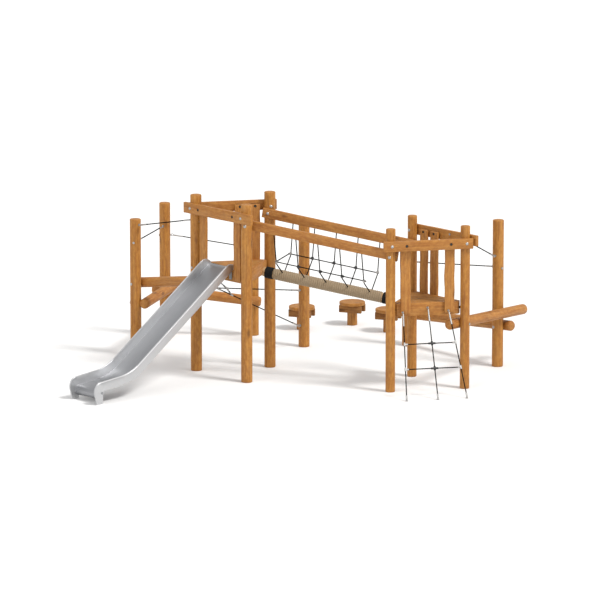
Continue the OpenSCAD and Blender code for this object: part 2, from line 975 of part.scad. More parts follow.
// climbing net: a line from tower A to the net post, a lower line that forks off it, and
// a third rope that is clamped to both
net_a = line_start(NET_LINE);
net_b = line_end(NET_LINE);
net_low = eye_centre(NORTH_NEAR, net_low_z, at(A_LEFT, 0));
net_high = eye_centre(A_LEFT, net_high_z, at(NORTH_NEAR, 0));
fork = net_a + net_fork * (net_b - net_a);
knot = net_a + net_knot * (net_b - net_a);
hook = fork + (net_end - net_fork) / (1 - net_fork) * (net_low - fork);

module net_ropes() {
    color("black") {
        rope_between(net_a, net_b, rope_from, rope_from);
        rope_between(fork, net_low, branch_start(fork, net_b, net_low), rope_from);
        rope_between(net_high, knot, rope_from, branch_start(knot, net_b, net_high));
        rope_between(knot, hook, branch_start(knot, net_b, hook), branch_start(hook, net_low, knot));
    }
}

module net_fittings() {
    color("silver") {
        for (eye = NET_EYES) post_eye(eye);
        rope_sleeve(net_a, net_b, 60);
        rope_sleeve(net_b, net_a, sleeve_len);
        rope_sleeve(net_low, fork, sleeve_len);
        rope_sleeve(net_high, knot, sleeve_len);
        tee(fork, net_b, [net_low]);
        tee(hook, net_low, [knot]);
        tee(knot, net_b, [net_high, hook]);
    }
}

// ---- rope ladder ----

module ladder_eye_bolt(top, play) {
    at_side(TOWER_B, ladder_side)
        bar([apothem + top[2] + eye_out + play, top[0], top[1]],
            [apothem - fascia_in - fascia_t - shank_past - play, top[0], top[1]], bolt_r + play);
}

function ladder_eye(k) =
    [apothem + LADDER_TOPS[k][2] + eye_out + eye_r, LADDER_TOPS[k][0], LADDER_TOPS[k][1]];
function ladder_foot(k) = [apothem + LADDER_FEET[k][1], LADDER_FEET[k][0], 30];
function ladder_share(k, z) = (ladder_eye(k).z - z) / (ladder_eye(k).z - ladder_foot(k).z);
function ladder_point(k, z) = ladder_eye(k) + ladder_share(k, z) * (ladder_foot(k) - ladder_eye(k));

module ladder_row(k, z) {
    p = ladder_point(k, z);
    q = ladder_point(k + 1, z);
    rope_between(p, q, branch_start(p, ladder_foot(k), q), branch_start(q, ladder_foot(k + 1), p));
}

module ladder_ropes() {
    color("black") at_side(TOWER_B, ladder_side) {
        for (k = [0:2])
            bar(along(ladder_eye(k), ladder_foot(k), rope_from), ladder_foot(k), rope_r);
        for (z = LADDER_ROWS)
            for (k = [0, 1]) ladder_row(k, z);
    }
}

module ladder_tees(z) {
    tee(ladder_point(0, z), ladder_foot(0), [ladder_point(1, z)]);
    tee(ladder_point(1, z), ladder_foot(1), [ladder_point(0, z), ladder_point(2, z)]);
    tee(ladder_point(2, z), ladder_foot(2), [ladder_point(1, z)]);
}

// washer on the outer face and nut on the inner face, at a ladder eye bolt
module ladder_nuts(top) {
    outer = apothem + top[2];
    inner = apothem - fascia_in - fascia_t;
    bar([outer + 0.4, top[0], top[1]], [outer + washer_t, top[0], top[1]], head_r);
    bar([inner - head_t, top[0], top[1]], [inner - 0.4, top[0], top[1]], head_r);
}

module ladder_fittings() {
    color("silver") {
        for (top = LADDER_TOPS) ladder_eye_bolt(top, 0);
        at_side(TOWER_B, ladder_side) {
            for (top = LADDER_TOPS) ladder_nuts(top);
            for (k = [0:2]) {
                eye_ring(ladder_eye(k), ladder_eye(k) + [100, 0, 0]);
                rope_sleeve(ladder_eye(k), ladder_foot(k), ladder_sleeve);
                ladder_anchor(ladder_foot(k), ladder_eye(k));
            }
            for (z = LADDER_ROWS) ladder_tees(z);
        }
    }
}

// ground anchor: a round plate with a socket that holds the end of the rope
module ladder_anchor(foot, eye) {
    difference() {
        union() {
            translate([foot.x, foot.y, 0]) cylinder(h = 8, r = anchor_r);
            translate([foot.x, foot.y, 0]) cylinder(h = socket_h, r = socket_r);
            bar(foot, along(foot, eye, 45), rope_r + 4);
        }
        bar(along(foot, eye, -0.4), along(foot, eye, 90), rope_r + rope_fit);
    }
}

// ---- slide ----

// the slide is drawn as outlines: x is the distance out from the planks, y the height
function arc_points(c, r, a0, a1, n) =
    [for (i = [0:n]) c + r * [cos(a0 + (a1 - a0) * i / n), sin(a0 + (a1 - a0) * i / n)]];
function cross2(a, b) = a.x * b.y - a.y * b.x;
function line_cross(p, u, q, v) = p + u * cross2(q - p, v) / cross2(u, v);
function normal(slope) = [sin(slope), cos(slope)];
function fall(slope) = [cos(slope), -sin(slope)];

runout_slope = 5.5;
ear_r = 125;
ear = [34, slide_top - ear_r];
nose_r = 122;
nose = [2268, 172];
bend_r = 600;

// centre of the bend, found from where the chute's and the run-out's rim lines cross
chute_start = ear + ear_r * normal(slide_slope);
runout_end = nose + nose_r * normal(runout_slope);
corner = line_cross(chute_start, fall(slide_slope), runout_end, fall(runout_slope));
mid_slope = (slide_slope + runout_slope) / 2;
bend_c = corner + bend_r / cos((slide_slope - runout_slope) / 2) * normal(mid_slope);

// the rim from the ear to the toe, at a depth below its edge
ear_end = 150;
nose_end = -15;
toe_drop = 124;
function bend_points(d) = arc_points(bend_c, bend_r + d, 270 - slide_slope, 270 - runout_slope, 6);
function toe(d) = nose + (nose_r - d) * normal(90 - nose_end) + toe_drop * [sin(nose_end), -cos(nose_end)];
function rim_points(d) = concat(
    arc_points(ear, ear_r - d, ear_end, 90 - slide_slope, 8),
    bend_points(d),
    arc_points(nose, nose_r - d, 90 - runout_slope, nose_end, 10),
    [toe(d)]
);

// foot of a side plate, and the tube that joins both feet
foot_r = 14;
foot_front = [nose.x + 69, foot_r];
foot_back = [nose.x - 14, foot_r];
foot_h = 120;
tube_c = [nose.x - 14, 146];
tube_r = 18;
plate_z = deck_a + 4;
plate_low = chute_start - slide_depth * normal(slide_slope);

module side_outline() {
    polygon(concat(
        rim_points(0),
        arc_points(foot_front, foot_r, nose_end, -90, 4),
        arc_points(foot_back, foot_r, -90, -180, 4),
        [[foot_back.x - foot_r - 6, foot_h]],
        [nose + (nose_r - slide_depth) * normal(runout_slope) - 50 * fall(runout_slope)],
        [for (i = [6:-1:0]) bend_points(slide_depth)[i]],
        [line_cross(plate_low, fall(slide_slope), [0, plate_z], [1, 0])],
        [[rim_points(0)[0].x, plate_z]]
    ));
}

// bed: it lies over the deck's edge, runs parallel to the rim and curls under at its nose
bed_t = 5;
bed_head = 91;
head_curve = 110;
lip_r = 66;
lip_end = -75;
head_z = deck_a + 8;
head_end = line_cross([0, head_z - head_curve * (1 - cos(slide_slope))], [1, 0],
    chute_start - bed_drop * normal(slide_slope), fall(slide_slope));
head_c = head_end - head_curve * normal(slide_slope);
lip_c = nose + [-33, 0] + (nose_r - bed_drop - lip_r) * normal(runout_slope);

function bed_points(d) = concat(
    [[-bed_head, head_z - d]],
    arc_points(head_c, head_curve - d, 90, 90 - slide_slope, 5),
    bend_points(bed_drop + d),
    arc_points(lip_c, lip_r - d, 90 - runout_slope, lip_end, 10)
);

module band(upper, lower) {
    polygon(concat(upper, [for (i = [len(lower) - 1:-1:0]) lower[i]]));
}

// extrudes an outline across the slide, from y to y + w along tower A's side
module at_slide(y, w) {
    at_side(TOWER_A, slide_side) translate([apothem + plank_out, y + w, 0]) rotate([90, 0, 0])
        linear_extrude(w) children();
}

slide_mid = -3;
rim_w = 18;
rim_h = 16;

module slide_side(dir) {
    plate_y = slide_mid + dir * (slide_w - slide_plate) / 2 - slide_plate / 2;
    rim_y = slide_mid + dir * (slide_w + rim_w) / 2 - rim_w / 2;
    color("silver") difference() {
        union() {
            at_slide(plate_y, slide_plate) side_outline();
            at_slide(rim_y, rim_w)
                band(rim_points(0), rim_points(rim_h));
        }
        foot_tube(0.3, 4);
    }
}

module foot_tube(play, over) {
    at_slide(slide_mid - slide_w / 2 - over, slide_w + 2 * over) translate(tube_c) circle(r = tube_r + play);
}

// left and right as seen by someone sliding down
module slide_side_left() {
    slide_side(1);
}

module slide_side_right() {
    slide_side(-1);
}

module slide_bed() {
    bed_w = slide_w - 2 * slide_plate - 0.4;
    color("silver") at_slide(slide_mid - bed_w / 2, bed_w) band(bed_points(0), bed_points(bed_t));
}

// two straps under the bed's head, against the deck's ring, and the foot tube
module slide_fixings() {
    strap_w = 50;
    strap_t = 8;
    strap_in = 60;
    strap_low = deck_a - fascia_h + 30;
    color("silver") {
        for (dir = [-1, 1])
            at_slide(slide_mid + dir * (slide_w / 2 - strap_in) - strap_w / 2, strap_w)
                translate([-plank_t + 0.4, strap_low]) square([strap_t, deck_a - strap_low]);
        foot_tube(0, 5);
    }
}

// ---- stools ----

stool_turn = 148;
module each_stool() {
    for (p = [stool_1, stool_2, stool_3]) translate([p.x, p.y, 0]) rotate([0, 0, stool_turn]) children();
}

seat_t = 46;
cleat_h = 100;
cleat_w = 320;
stool_post_r = 70;
cleat_t = 48;

module stool_seats() {
    color("peru") each_stool() translate([0, 0, stool_h - seat_t]) rotate_extrude()
        polygon([[0, 0], [stool_d / 2 - 8, 0], [stool_d / 2, 8], [stool_d / 2, seat_t - 12],
            [stool_d / 2 - 12, seat_t], [0, seat_t]]);
}

cleat_y = stool_post_r - 12 + cleat_t / 2;

module stool_cleats() {
    color("sienna") each_stool() for (dir = [-1, 1])
        translate([0, dir * cleat_y, stool_h - seat_t - cleat_h / 2])
            cube([cleat_w, cleat_t, cleat_h], center = true);
}

module stool_posts() {
    color("peru") difference() {
        each_stool() cylinder(h = stool_h - seat_t, r = stool_post_r);
        stool_cleats();
    }
}

tower_a_post_left();
tower_a_post_front();
tower_a_post_right();
tower_b_post_left();
tower_b_post_right();
tower_b_post_back();
west_post_near();
west_post_far();
north_post_near();
north_post_far();
east_post_near();
east_post_far();
tower_a_deck_boards();
tower_a_deck_ring();
tower_a_joists();
tower_b_deck_boards();
tower_b_deck_ring();
tower_b_joists();
deck_tie_rods();
slide_rail();
tower_a_back_rail();
ladder_rail();
tower_b_back_rail();
tower_a_planks();
tower_b_planks();
plank_spacers();
plank_bolts();
frame_bolts();
bridge_beam_front();
bridge_beam_back();
log_core();
log_winding();
log_buffers();
rope_pair_1();
rope_pair_2();
rope_pair_3();
rope_pair_4();
rope_pair_5();
side_ropes();
side_rope_clamps();
balance_log_1();
balance_log_2();
balance_log_3();
balance_log_4();
balance_log_5();
balance_log_bolts();
handrail_ropes();
handrail_fittings();
net_ropes();
net_fittings();
ladder_ropes();
ladder_fittings();
slide_bed();
slide_side_left();
slide_side_right();
slide_fixings();
stool_seats();
stool_cleats();
stool_posts();
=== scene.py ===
"""Looks for a timber climbing set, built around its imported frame.

Every piece is placed from the frame's own nodes. Timber, cord and sheet pieces are meshes that
carry a point attribute, "grain", with their own local coordinates in metres: the z of that
attribute runs along the grain or along the cord, so each material follows its piece.
"""

import math
from random import Random

import bmesh
import bpy
import numpy as np
from mathutils import Matrix, Vector, noise


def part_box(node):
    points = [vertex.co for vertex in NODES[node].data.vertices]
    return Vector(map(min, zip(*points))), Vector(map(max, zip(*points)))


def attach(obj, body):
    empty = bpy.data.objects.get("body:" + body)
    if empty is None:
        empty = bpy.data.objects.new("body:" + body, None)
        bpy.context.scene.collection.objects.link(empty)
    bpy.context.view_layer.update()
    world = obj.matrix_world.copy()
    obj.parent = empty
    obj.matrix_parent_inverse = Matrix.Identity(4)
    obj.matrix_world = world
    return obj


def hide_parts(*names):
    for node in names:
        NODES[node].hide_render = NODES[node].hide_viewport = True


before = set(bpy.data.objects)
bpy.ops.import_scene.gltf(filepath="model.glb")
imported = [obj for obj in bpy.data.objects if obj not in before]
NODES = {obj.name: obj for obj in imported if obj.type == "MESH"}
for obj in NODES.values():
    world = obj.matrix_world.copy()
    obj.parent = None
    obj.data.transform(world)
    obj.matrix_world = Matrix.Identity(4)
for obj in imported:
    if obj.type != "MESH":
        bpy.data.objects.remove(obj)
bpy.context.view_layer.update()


# ---------------------------------------------------------------- camera

VIEW_AZIMUTH = math.radians(-12.5)


def add_camera():
    """A long lens, far away, as the set is seen from its slide side."""
    aim = Vector((0.8465, 0.583, 0))
    distance = 75.0
    elevation = math.radians(12.18)
    look_down = math.radians(11.47)
    away = Vector((
        math.sin(VIEW_AZIMUTH) * math.cos(elevation),
        -math.cos(VIEW_AZIMUTH) * math.cos(elevation),
        math.sin(elevation),
    ))
    data = bpy.data.cameras.new("camera")
    data.lens = 338.4
    data.sensor_width = 36
    data.clip_start = 1
    data.clip_end = 400
    camera = bpy.data.objects.new("camera", data)
    camera.location = aim + distance * away
    camera.rotation_euler = (math.pi / 2 - look_down, 0, VIEW_AZIMUTH)
    bpy.context.scene.collection.objects.link(camera)
    bpy.context.scene.camera = camera


add_camera()


# ---------------------------------------------------------------- mesh building

class Build:
    """Collects vertices, faces and grain coordinates, then makes one object of them."""

    def __init__(self, seed):
        self.verts = []
        self.grain = []
        self.faces = []
        self.count = 0
        self.rnd = Random(seed)

    def add(self, local, faces, matrix=None, grain=None):
        """Adds local points placed by matrix; grain defaults to the local points, shifted along z."""
        local = np.asarray(local, float)
        grain = local.copy() if grain is None else np.asarray(grain, float).copy()
        grain[:, 2] += self.rnd.uniform(0, 60)
        if matrix is not None:
            turn = np.array(matrix)
            local = local @ turn[:3, :3].T + turn[:3, 3]
        self.verts.append(local)
        self.grain.append(grain)
        self.faces.extend(tuple(i + self.count for i in face) for face in faces)
        self.count += len(local)

    def make(self, name, material, body="root", replaces=(), sharp=38):
        """Makes the object, on a body of the frame, in place of the nodes it stands for."""
        mesh = bpy.data.meshes.new(name)
        mesh.from_pydata(np.vstack(self.verts).tolist(), [], self.faces)
        attribute = mesh.attributes.new("grain", "FLOAT_VECTOR", "POINT")
        attribute.data.foreach_set("vector", np.vstack(self.grain).astype(np.float32).ravel())
        mesh.materials.append(material)
        mesh.polygons.foreach_set("use_smooth", [True] * len(mesh.polygons))
        mesh.set_sharp_from_angle(angle=math.radians(sharp))
        mesh.update()
        piece = bpy.data.objects.new(name, mesh)
        bpy.context.scene.collection.objects.link(piece)
        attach(piece, body)
        if replaces:
            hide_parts(*replaces)
        return piece


def place(origin, z_axis):
    """A matrix whose local z runs along z_axis, from origin."""
    z = Vector(z_axis).normalized()
    hint = Vector((1, 0, 0)) if abs(z.z) > 0.95 else Vector((0, 0, 1))
    x = (hint - hint.dot(z) * z).normalized()
    y = z.cross(x)
    matrix = Matrix((x, y, z)).transposed().to_4x4()
    matrix.translation = Vector(origin)
    return matrix


def skin(rings, n, cap=True):
    """Faces between successive rings of n points, with a fan at each end."""
    faces = []
    for i in range(rings - 1):
        for j in range(n):
            k = (j + 1) % n
            faces.append((i * n + j, i * n + k, (i + 1) * n + k, (i + 1) * n + j))
    if cap:
        first = rings * n
        last = (rings - 1) * n
        for j in range(n):
            k = (j + 1) % n
            faces.append((k, j, first))
            faces.append((last + j, last + k, first + 1))
    return faces


def coordinates(mesh):
    """A mesh's vertices, as the rows of an array."""
    points = np.zeros(len(mesh.vertices) * 3)
    mesh.vertices.foreach_get("co", points)
    return points.reshape(-1, 3)


def extrude(corners, axis, to):
    """A bmesh of one flat face, extruded along an axis to that place."""
    bm = bmesh.new()
    face = bm.faces.new([bm.verts.new(corner) for corner in corners])
    for grown in bmesh.ops.extrude_face_region(bm, geom=[face])["geom"]:
        if isinstance(grown, bmesh.types.BMVert):
            grown.co[axis] = to
    return bm


def taken(bm):
    """The points and faces of a bmesh, which is freed."""
    bmesh.ops.recalc_face_normals(bm, faces=bm.faces[:])
    bm.verts.index_update()
    local = [vert.co[:] for vert in bm.verts]
    faces = [[vert.index for vert in face.verts] for face in bm.faces]
    bm.free()
    return local, faces


def wobble(x, y, z, size, seed):
    """Smooth noise, about -1 to 1, with features of that size."""
    return noise.noise(Vector((x / size, y / size, z / size + seed)))


# ---------------------------------------------------------------- round timber

def crack_list(rnd, length, count):
    """Drying cracks: angle, middle, half length, depth."""
    return [
        (rnd.uniform(0, math.tau), rnd.uniform(0.15, 0.85) * length,
         rnd.uniform(0.15, 0.4) * length, rnd.uniform(0.004, 0.008))
        for _ in range(count)
    ]


def round_timber(build, start, end, radius, chamfer=0.009, cracks=3, around=40, step=0.05):
    """A peeled log: slightly uneven, with V-shaped drying cracks and eased ends."""
    start, end = Vector(start), Vector(end)
    length = (end - start).length
    seed = build.rnd.uniform(0, 500)
    found = crack_list(build.rnd, length, cracks)
    angles = sorted(
        [math.tau * i / around for i in range(around)]
        + [angle + off for angle, _, _, _ in found for off in (-0.028, 0, 0.028)]
    )
    stations = [(0, -chamfer), (chamfer * 0.35, -chamfer * 0.35), (chamfer, 0)]
    inner = max(2, round((length - 2 * chamfer) / step))
    stations += [(chamfer + (length - 2 * chamfer) * i / inner, 0) for i in range(1, inner)]
    stations += [(length - chamfer, 0), (length - chamfer * 0.35, -chamfer * 0.35), (length, -chamfer)]
    local = []
    for z, inset in stations:
        for angle in angles:
            x, y = math.cos(angle), math.sin(angle)
            uneven = 0.010 * wobble(x * 0.06, y * 0.06, z * 0.25, 0.05, seed)
            uneven += 0.012 * wobble(x * 0.02, y * 0.02, z * 0.3, 0.25, seed + 9)
            r = radius * (1 - 0.003 + uneven * 0.3) + inset
            for middle_angle, middle, half, depth in found:
                away = abs(z - middle) / half
                if abs(angle - middle_angle) < 1e-6 and away < 1:
                    r -= depth * math.sqrt(1 - away * away)
            local.append((r * x, r * y, z))
    n = len(angles)
    local += [(0, 0, 0), (0, 0, length)]
    build.add(local, skin(len(stations), n), place(start, end - start))


# ---------------------------------------------------------------- sawn timber

def board(build, low, high, along, matrix=None, ease=0.004, step=0.08, wave=0.0):
    """A sawn board in the box low..high of matrix's frame, with its grain along axis 0, 1 or 2.

    ease rounds the long edges, and wave lets the two narrow edges run uneven, as on a live-edge board.
    """
    low, high = Vector(low), Vector(high)
    across = [axis for axis in range(3) if axis != along]
    size = high - low
    wide, thin = across if size[across[0]] >= size[across[1]] else across[::-1]
    half_w, half_t = size[wide] / 2, size[thin] / 2
    ease = min(ease, half_t * 0.8)
    length = size[along]
    seed = build.rnd.uniform(0, 500)
    corner = [
        (sx * (half_w - ease), sy * (half_t - ease), math.radians(a0 + a))
        for sx, sy, a0 in ((1, 1, 0), (-1, 1, 90), (-1, -1, 180), (1, -1, 270))
        for a in (0, 45, 90)
    ]
    stations = [(0, ease), (ease * 0.3, ease * 0.3), (ease, 0)]
    inner = max(1, round((length - 2 * ease) / step))
    stations += [(ease + (length - 2 * ease) * i / inner, 0) for i in range(1, inner)]
    stations += [(length - ease, 0), (length - ease * 0.3, ease * 0.3), (length, ease)]
    local = []
    for z, inset in stations:
        for cx, cy, angle in corner:
            x = cx + (ease - inset) * math.cos(angle)
            y = cy + (ease - inset) * math.sin(angle)
            if wave:
                side = 1 if cx > 0 else -1
                x -= side * wave * (1 + wobble(side * 3, 0, z, 0.22, seed)) / 2
            y *= 1 - 0.008 * (1 + wobble(x, 0, z, 0.15, seed + 5))
            local.append((x, y, z))
    local += [(0, 0, 0), (0, 0, length)]
    axes = Matrix.Identity(3)
    turn = Matrix((axes[wide], axes[thin], axes[along])).transposed()
    if turn.determinant() < 0:
        turn = Matrix((axes[wide], -axes[thin], axes[along])).transposed()
    turn = turn.to_4x4()
    turn.translation = (low + high) / 2
    turn.translation[along] = low[along]
    grain = np.array(local)
    grain[:, 1] += 0.09 + build.rnd.uniform(0, 0.05)
    grain[:, 0] += build.rnd.uniform(-0.05, 0.05)
    build.add(local, skin(len(stations), len(corner)), (matrix or Matrix.Identity(4)) @ turn, grain)


def prism(build, outline, bottom, top, along, ease=0.004):
    """A board with any outline in plan, eased on every edge, with its grain along a plan direction."""
    bm = extrude([(x, y, bottom) for x, y in outline], 2, top)
    bmesh.ops.bevel(bm, geom=bm.edges[:], offset=ease, segments=2, affect="EDGES", profile=0.6)
    local, faces = taken(bm)
    direction = Vector((along[0], along[1], 0)).normalized()
    side = Vector((-direction.y, direction.x, 0))
    grain = [
        (Vector(point).dot(side), point[2] + 0.1, Vector(point).dot(direction)) for point in local
    ]
    build.add(local, faces, grain=grain)


# ---------------------------------------------------------------- cords

def resample(points, step):
    """Points about a step apart along a chain of straight runs."""
    out = [Vector(points[0])]
    for a, b in zip(points, points[1:]):
        a, b = Vector(a), Vector(b)
        count = max(1, round((b - a).length / step))
        out += [a + (b - a) * i / count for i in range(1, count + 1)]
    return out


def laid_rope(build, points, radius=0.008, strands=6, lay=0.055, step=0.009, soften=0):
    """A rope of twisted strands along a path."""
    path = resample(points, step)
    for _ in range(soften):
        path = [path[0]] + [
            (a + 2 * b + c) / 4 for a, b, c in zip(path, path[1:], path[2:])
        ] + [path[-1]]
    n = strands * 3
    local = []
    grain = []
    reach = 0.0
    side = None
    for i, point in enumerate(path):
        ahead = path[min(i + 1, len(path) - 1)] - path[max(i - 1, 0)]
        ahead.normalize()
        if side is None:
            side = ahead.orthogonal().normalized()
        side = (side - side.dot(ahead) * ahead).normalized()
        up = ahead.cross(side)
        if i:
            reach += (point - path[i - 1]).length
        twist = math.tau * reach / lay
        for j in range(n):
            turn = math.tau * j / n
            lobe = abs(math.cos(strands * turn / 2))
            r = radius * (0.90 + 0.10 * lobe)
            angle = turn + twist
            local.append(point + r * (math.cos(angle) * side + math.sin(angle) * up))
            grain.append((r * math.cos(turn), r * math.sin(turn), reach))
    local += [path[0], path[-1]]
    grain += [(0, 0, 0), (0, 0, reach)]
    build.add([tuple(p) for p in local], skin(len(path), n), None, grain)


def tube(build, start, end, outer, inner=None, ease=0.0015, around=20):
    """A round sleeve with eased rims; it is solid where inner is None."""
    start, end = Vector(start), Vector(end)
    length = (end - start).length
    profile = [(outer - ease, 0), (outer - ease * 0.3, ease * 0.3), (outer, ease),
               (outer, length - ease), (outer - ease * 0.3, length - ease * 0.3), (outer - ease, length)]
    if inner:
        profile = [(inner, 0)] + profile + [(inner, length)]
    lathe(build, profile, place(start, end - start), around, closed=bool(inner))


def lathe(build, profile, matrix, around=32, closed=False):
    """Turns a profile of (radius, z) about z; a closed profile makes a ring."""
    local = []
    for r, z in profile:
        for j in range(around):
            angle = math.tau * j / around
            local.append((r * math.cos(angle), r * math.sin(angle), z))
    faces = skin(len(profile), around, cap=not closed)
    if closed:
        last = (len(profile) - 1) * around
        faces += [(last + j, last + (j + 1) % around, (j + 1) % around, j) for j in range(around)]
    else:
        local += [(0, 0, profile[0][1]), (0, 0, profile[-1][1])]
    build.add(local, faces, matrix)


# ---------------------------------------------------------------- materials

class Nodes:
    """A small helper that writes a material's node tree."""

    def __init__(self, name, **socket_values):
        self.material = bpy.data.materials.new(name)
        self.material.use_nodes = True
        self.tree = self.material.node_tree
        self.shader = self.tree.nodes["Principled BSDF"]
        for key, value in socket_values.items():
            self.shader.inputs[key.replace("_", " ")].default_value = value

    def new(self, kind, inputs=None, **settings):
        node = self.tree.nodes.new(kind)
        for key, value in settings.items():
            setattr(node, key, value)
        for key, value in (inputs or {}).items():
            self.link(value, node.inputs[key])
        return node

    def link(self, value, socket):
        if isinstance(value, bpy.types.NodeSocket):
            self.tree.links.new(value, socket)
        else:
            socket.default_value = value

    def grain(self, scale, offset=(0, 0, 0)):
        """The grain coordinates, stretched by a scale for each axis."""
        source = self.new("ShaderNodeAttribute", attribute_name="grain")
        values = {"Vector": source.outputs["Vector"], "Scale": scale, "Location": offset}
        return self.new("ShaderNodeMapping", values).outputs["Vector"]

    def noise(self, vector, scale=1.0, detail=4.0, roughness=0.55):
        values = {"Vector": vector, "Scale": scale, "Detail": detail, "Roughness": roughness}
        return self.new("ShaderNodeTexNoise", values).outputs["Fac"]

    def math(self, operation, a, b=0.0):
        return self.new("ShaderNodeMath", {0: a, 1: b}, operation=operation).outputs[0]

    def plus(self, a, b):
        return self.math("ADD", a, b)

    def times(self, a, b):
        return self.math("MULTIPLY", a, b)

    def ramp(self, factor, *stops):
        """A colour ramp: each stop is a position and a colour or a grey."""
        node = self.new("ShaderNodeValToRGB", {"Fac": factor})
        elements = node.color_ramp.elements
        while len(elements) < len(stops):
            elements.new(0.5)
        for element, (position, colour) in zip(elements, stops):
            element.position = position
            element.color = (*colour, 1) if isinstance(colour, tuple) else (colour, colour, colour, 1)
        return node.outputs["Color"]

    def mix(self, factor, a, b):
        node = self.new("ShaderNodeMix", data_type="RGBA")
        self.link(factor, node.inputs["Factor"])
        for name, colour in (("A", a), ("B", b)):
            self.link((*colour, 1) if isinstance(colour, tuple) else colour, node.inputs[name])
        return node.outputs["Result"]

    def finish(self, colour, roughness, height, bump=0.3, distance=0.002):
        """Wires the shader up, with a bump, and gives the material."""
        node = self.new("ShaderNodeBump", {"Height": height, "Strength": bump, "Distance": distance})
        wires = {"Base Color": colour, "Roughness": roughness, "Normal": node.outputs["Normal"]}
        for name, source in wires.items():
            self.link(source, self.shader.inputs[name])
        return self.material


def shade(colour, share):
    return tuple(channel * share for channel in colour)


def timber(name, pale, mid, dark, ring_pitch=0.012, weather=0.25, gloss=0.5):
    """Oiled softwood: growth rings, fibre streaks, knots, fine checks and patches of weathering."""
    nodes = Nodes(name, Specular_IOR_Level=0.35, Coat_Weight=0.06, Coat_Roughness=0.45)
    drift = nodes.noise(nodes.grain((5, 5, 0.9)), detail=2)
    plan = nodes.grain((1, 1, 0))
    flat = nodes.new("ShaderNodeVectorMath", {0: plan}, operation="LENGTH").outputs["Value"]
    radius = nodes.plus(flat, nodes.times(drift, 0.09))
    rings = nodes.math("SINE", nodes.times(radius, math.tau / ring_pitch))
    rings = nodes.times(nodes.plus(rings, 1.0), 0.5)
    fibre = nodes.noise(nodes.grain((210, 210, 5)), detail=3)
    streak = nodes.noise(nodes.grain((38, 38, 1.4)), detail=4, roughness=0.6)
    broad = nodes.noise(nodes.grain((7, 7, 0.8), (3, 1, 5)), detail=3)
    colour = nodes.ramp(streak, (0.28, dark), (0.47, mid), (0.72, pale))
    colour = nodes.mix(nodes.times(rings, 0.34), colour, dark)
    colour = nodes.mix(nodes.ramp(broad, (0.38, 0.0), (0.68, 0.5)), colour, pale)
    colour = nodes.mix(nodes.ramp(fibre, (0.3, 0.24), (0.62, 0.0)), colour, shade(dark, 0.45))
    knot = nodes.new("ShaderNodeTexVoronoi", {"Vector": nodes.grain((6.0, 6.0, 2.1))})
    knot.inputs["Scale"].default_value = 1.0
    near = nodes.ramp(knot.outputs["Distance"], (0.07, 1.0), (0.17, 0.0))
    knot_colour = shade(dark, 0.38)
    colour = nodes.mix(nodes.times(near, 0.75), colour, knot_colour)
    checks = nodes.noise(nodes.grain((22, 22, 0.55), (9, 4, 2)), detail=2, roughness=0.4)
    line = nodes.math("ABSOLUTE", nodes.math("SUBTRACT", checks, 0.5))
    line = nodes.ramp(line, (0.0, 1.0), (0.007, 0.0))
    colour = nodes.mix(nodes.times(line, 0.4), colour, shade(dark, 0.22))
    mottle = nodes.noise(nodes.grain((30, 30, 13), (2, 8, 1)), detail=5, roughness=0.7)
    colour = nodes.mix(nodes.ramp(mottle, (0.36, 0.5), (0.52, 0.0)), colour, dark)
    colour = nodes.mix(nodes.ramp(mottle, (0.52, 0.0), (0.68, 0.55)), colour, pale)
    grey = nodes.noise(nodes.grain((9, 9, 3), (7, 7, 7)), detail=5)
    wear = nodes.times(nodes.ramp(grey, (0.5, 0.0), (0.75, 1.0)), weather)
    colour = nodes.mix(wear, colour, (0.30, 0.17, 0.075))
    roughness = nodes.ramp(streak, (0.3, gloss + 0.16), (0.7, gloss))
    height = nodes.plus(nodes.times(fibre, 0.35), nodes.times(rings, 0.25))
    height = nodes.math("SUBTRACT", height, nodes.times(line, 1.1))
    height = nodes.math("SUBTRACT", height, nodes.times(near, 0.25))
    return nodes.finish(colour, roughness, height, 0.35, 0.0015)


def steel(name, colour, roughness, streak_scale):
    """Brushed metal: fine lines along the piece, faint smears and handling marks."""
    nodes = Nodes(name, Metallic=1.0)
    lines = nodes.noise(nodes.grain(streak_scale), detail=5, roughness=0.7)
    smear = nodes.noise(nodes.grain((6, 6, 2.2)), detail=4)
    tint = nodes.ramp(lines, (0.3, shade(colour, 0.95)), (0.7, colour))
    tint = nodes.mix(nodes.ramp(smear, (0.45, 0.0), (0.8, 0.22)), tint, shade(colour, 0.8))
    rough = nodes.plus(nodes.times(lines, 0.16), roughness - 0.08)
    rough = nodes.plus(rough, nodes.times(smear, 0.1))
    return nodes.finish(tint, rough, lines, 0.12, 0.0004)


def cast_metal(name, colour, roughness, metallic=1.0):
    """Zinc-plated or painted fittings: mottled sheen with dulled spots, from object space."""
    nodes = Nodes(name, Metallic=metallic)
    spot = nodes.new("ShaderNodeTexCoord").outputs["Object"]
    spots = nodes.noise(spot, scale=90, detail=4)
    fine = nodes.noise(spot, scale=600, detail=2)
    tint = nodes.ramp(spots, (0.35, shade(colour, 0.78)), (0.65, colour))
    rough = nodes.plus(nodes.times(spots, 0.25), roughness - 0.1)
    return nodes.finish(tint, rough, fine, 0.15, 0.0003)


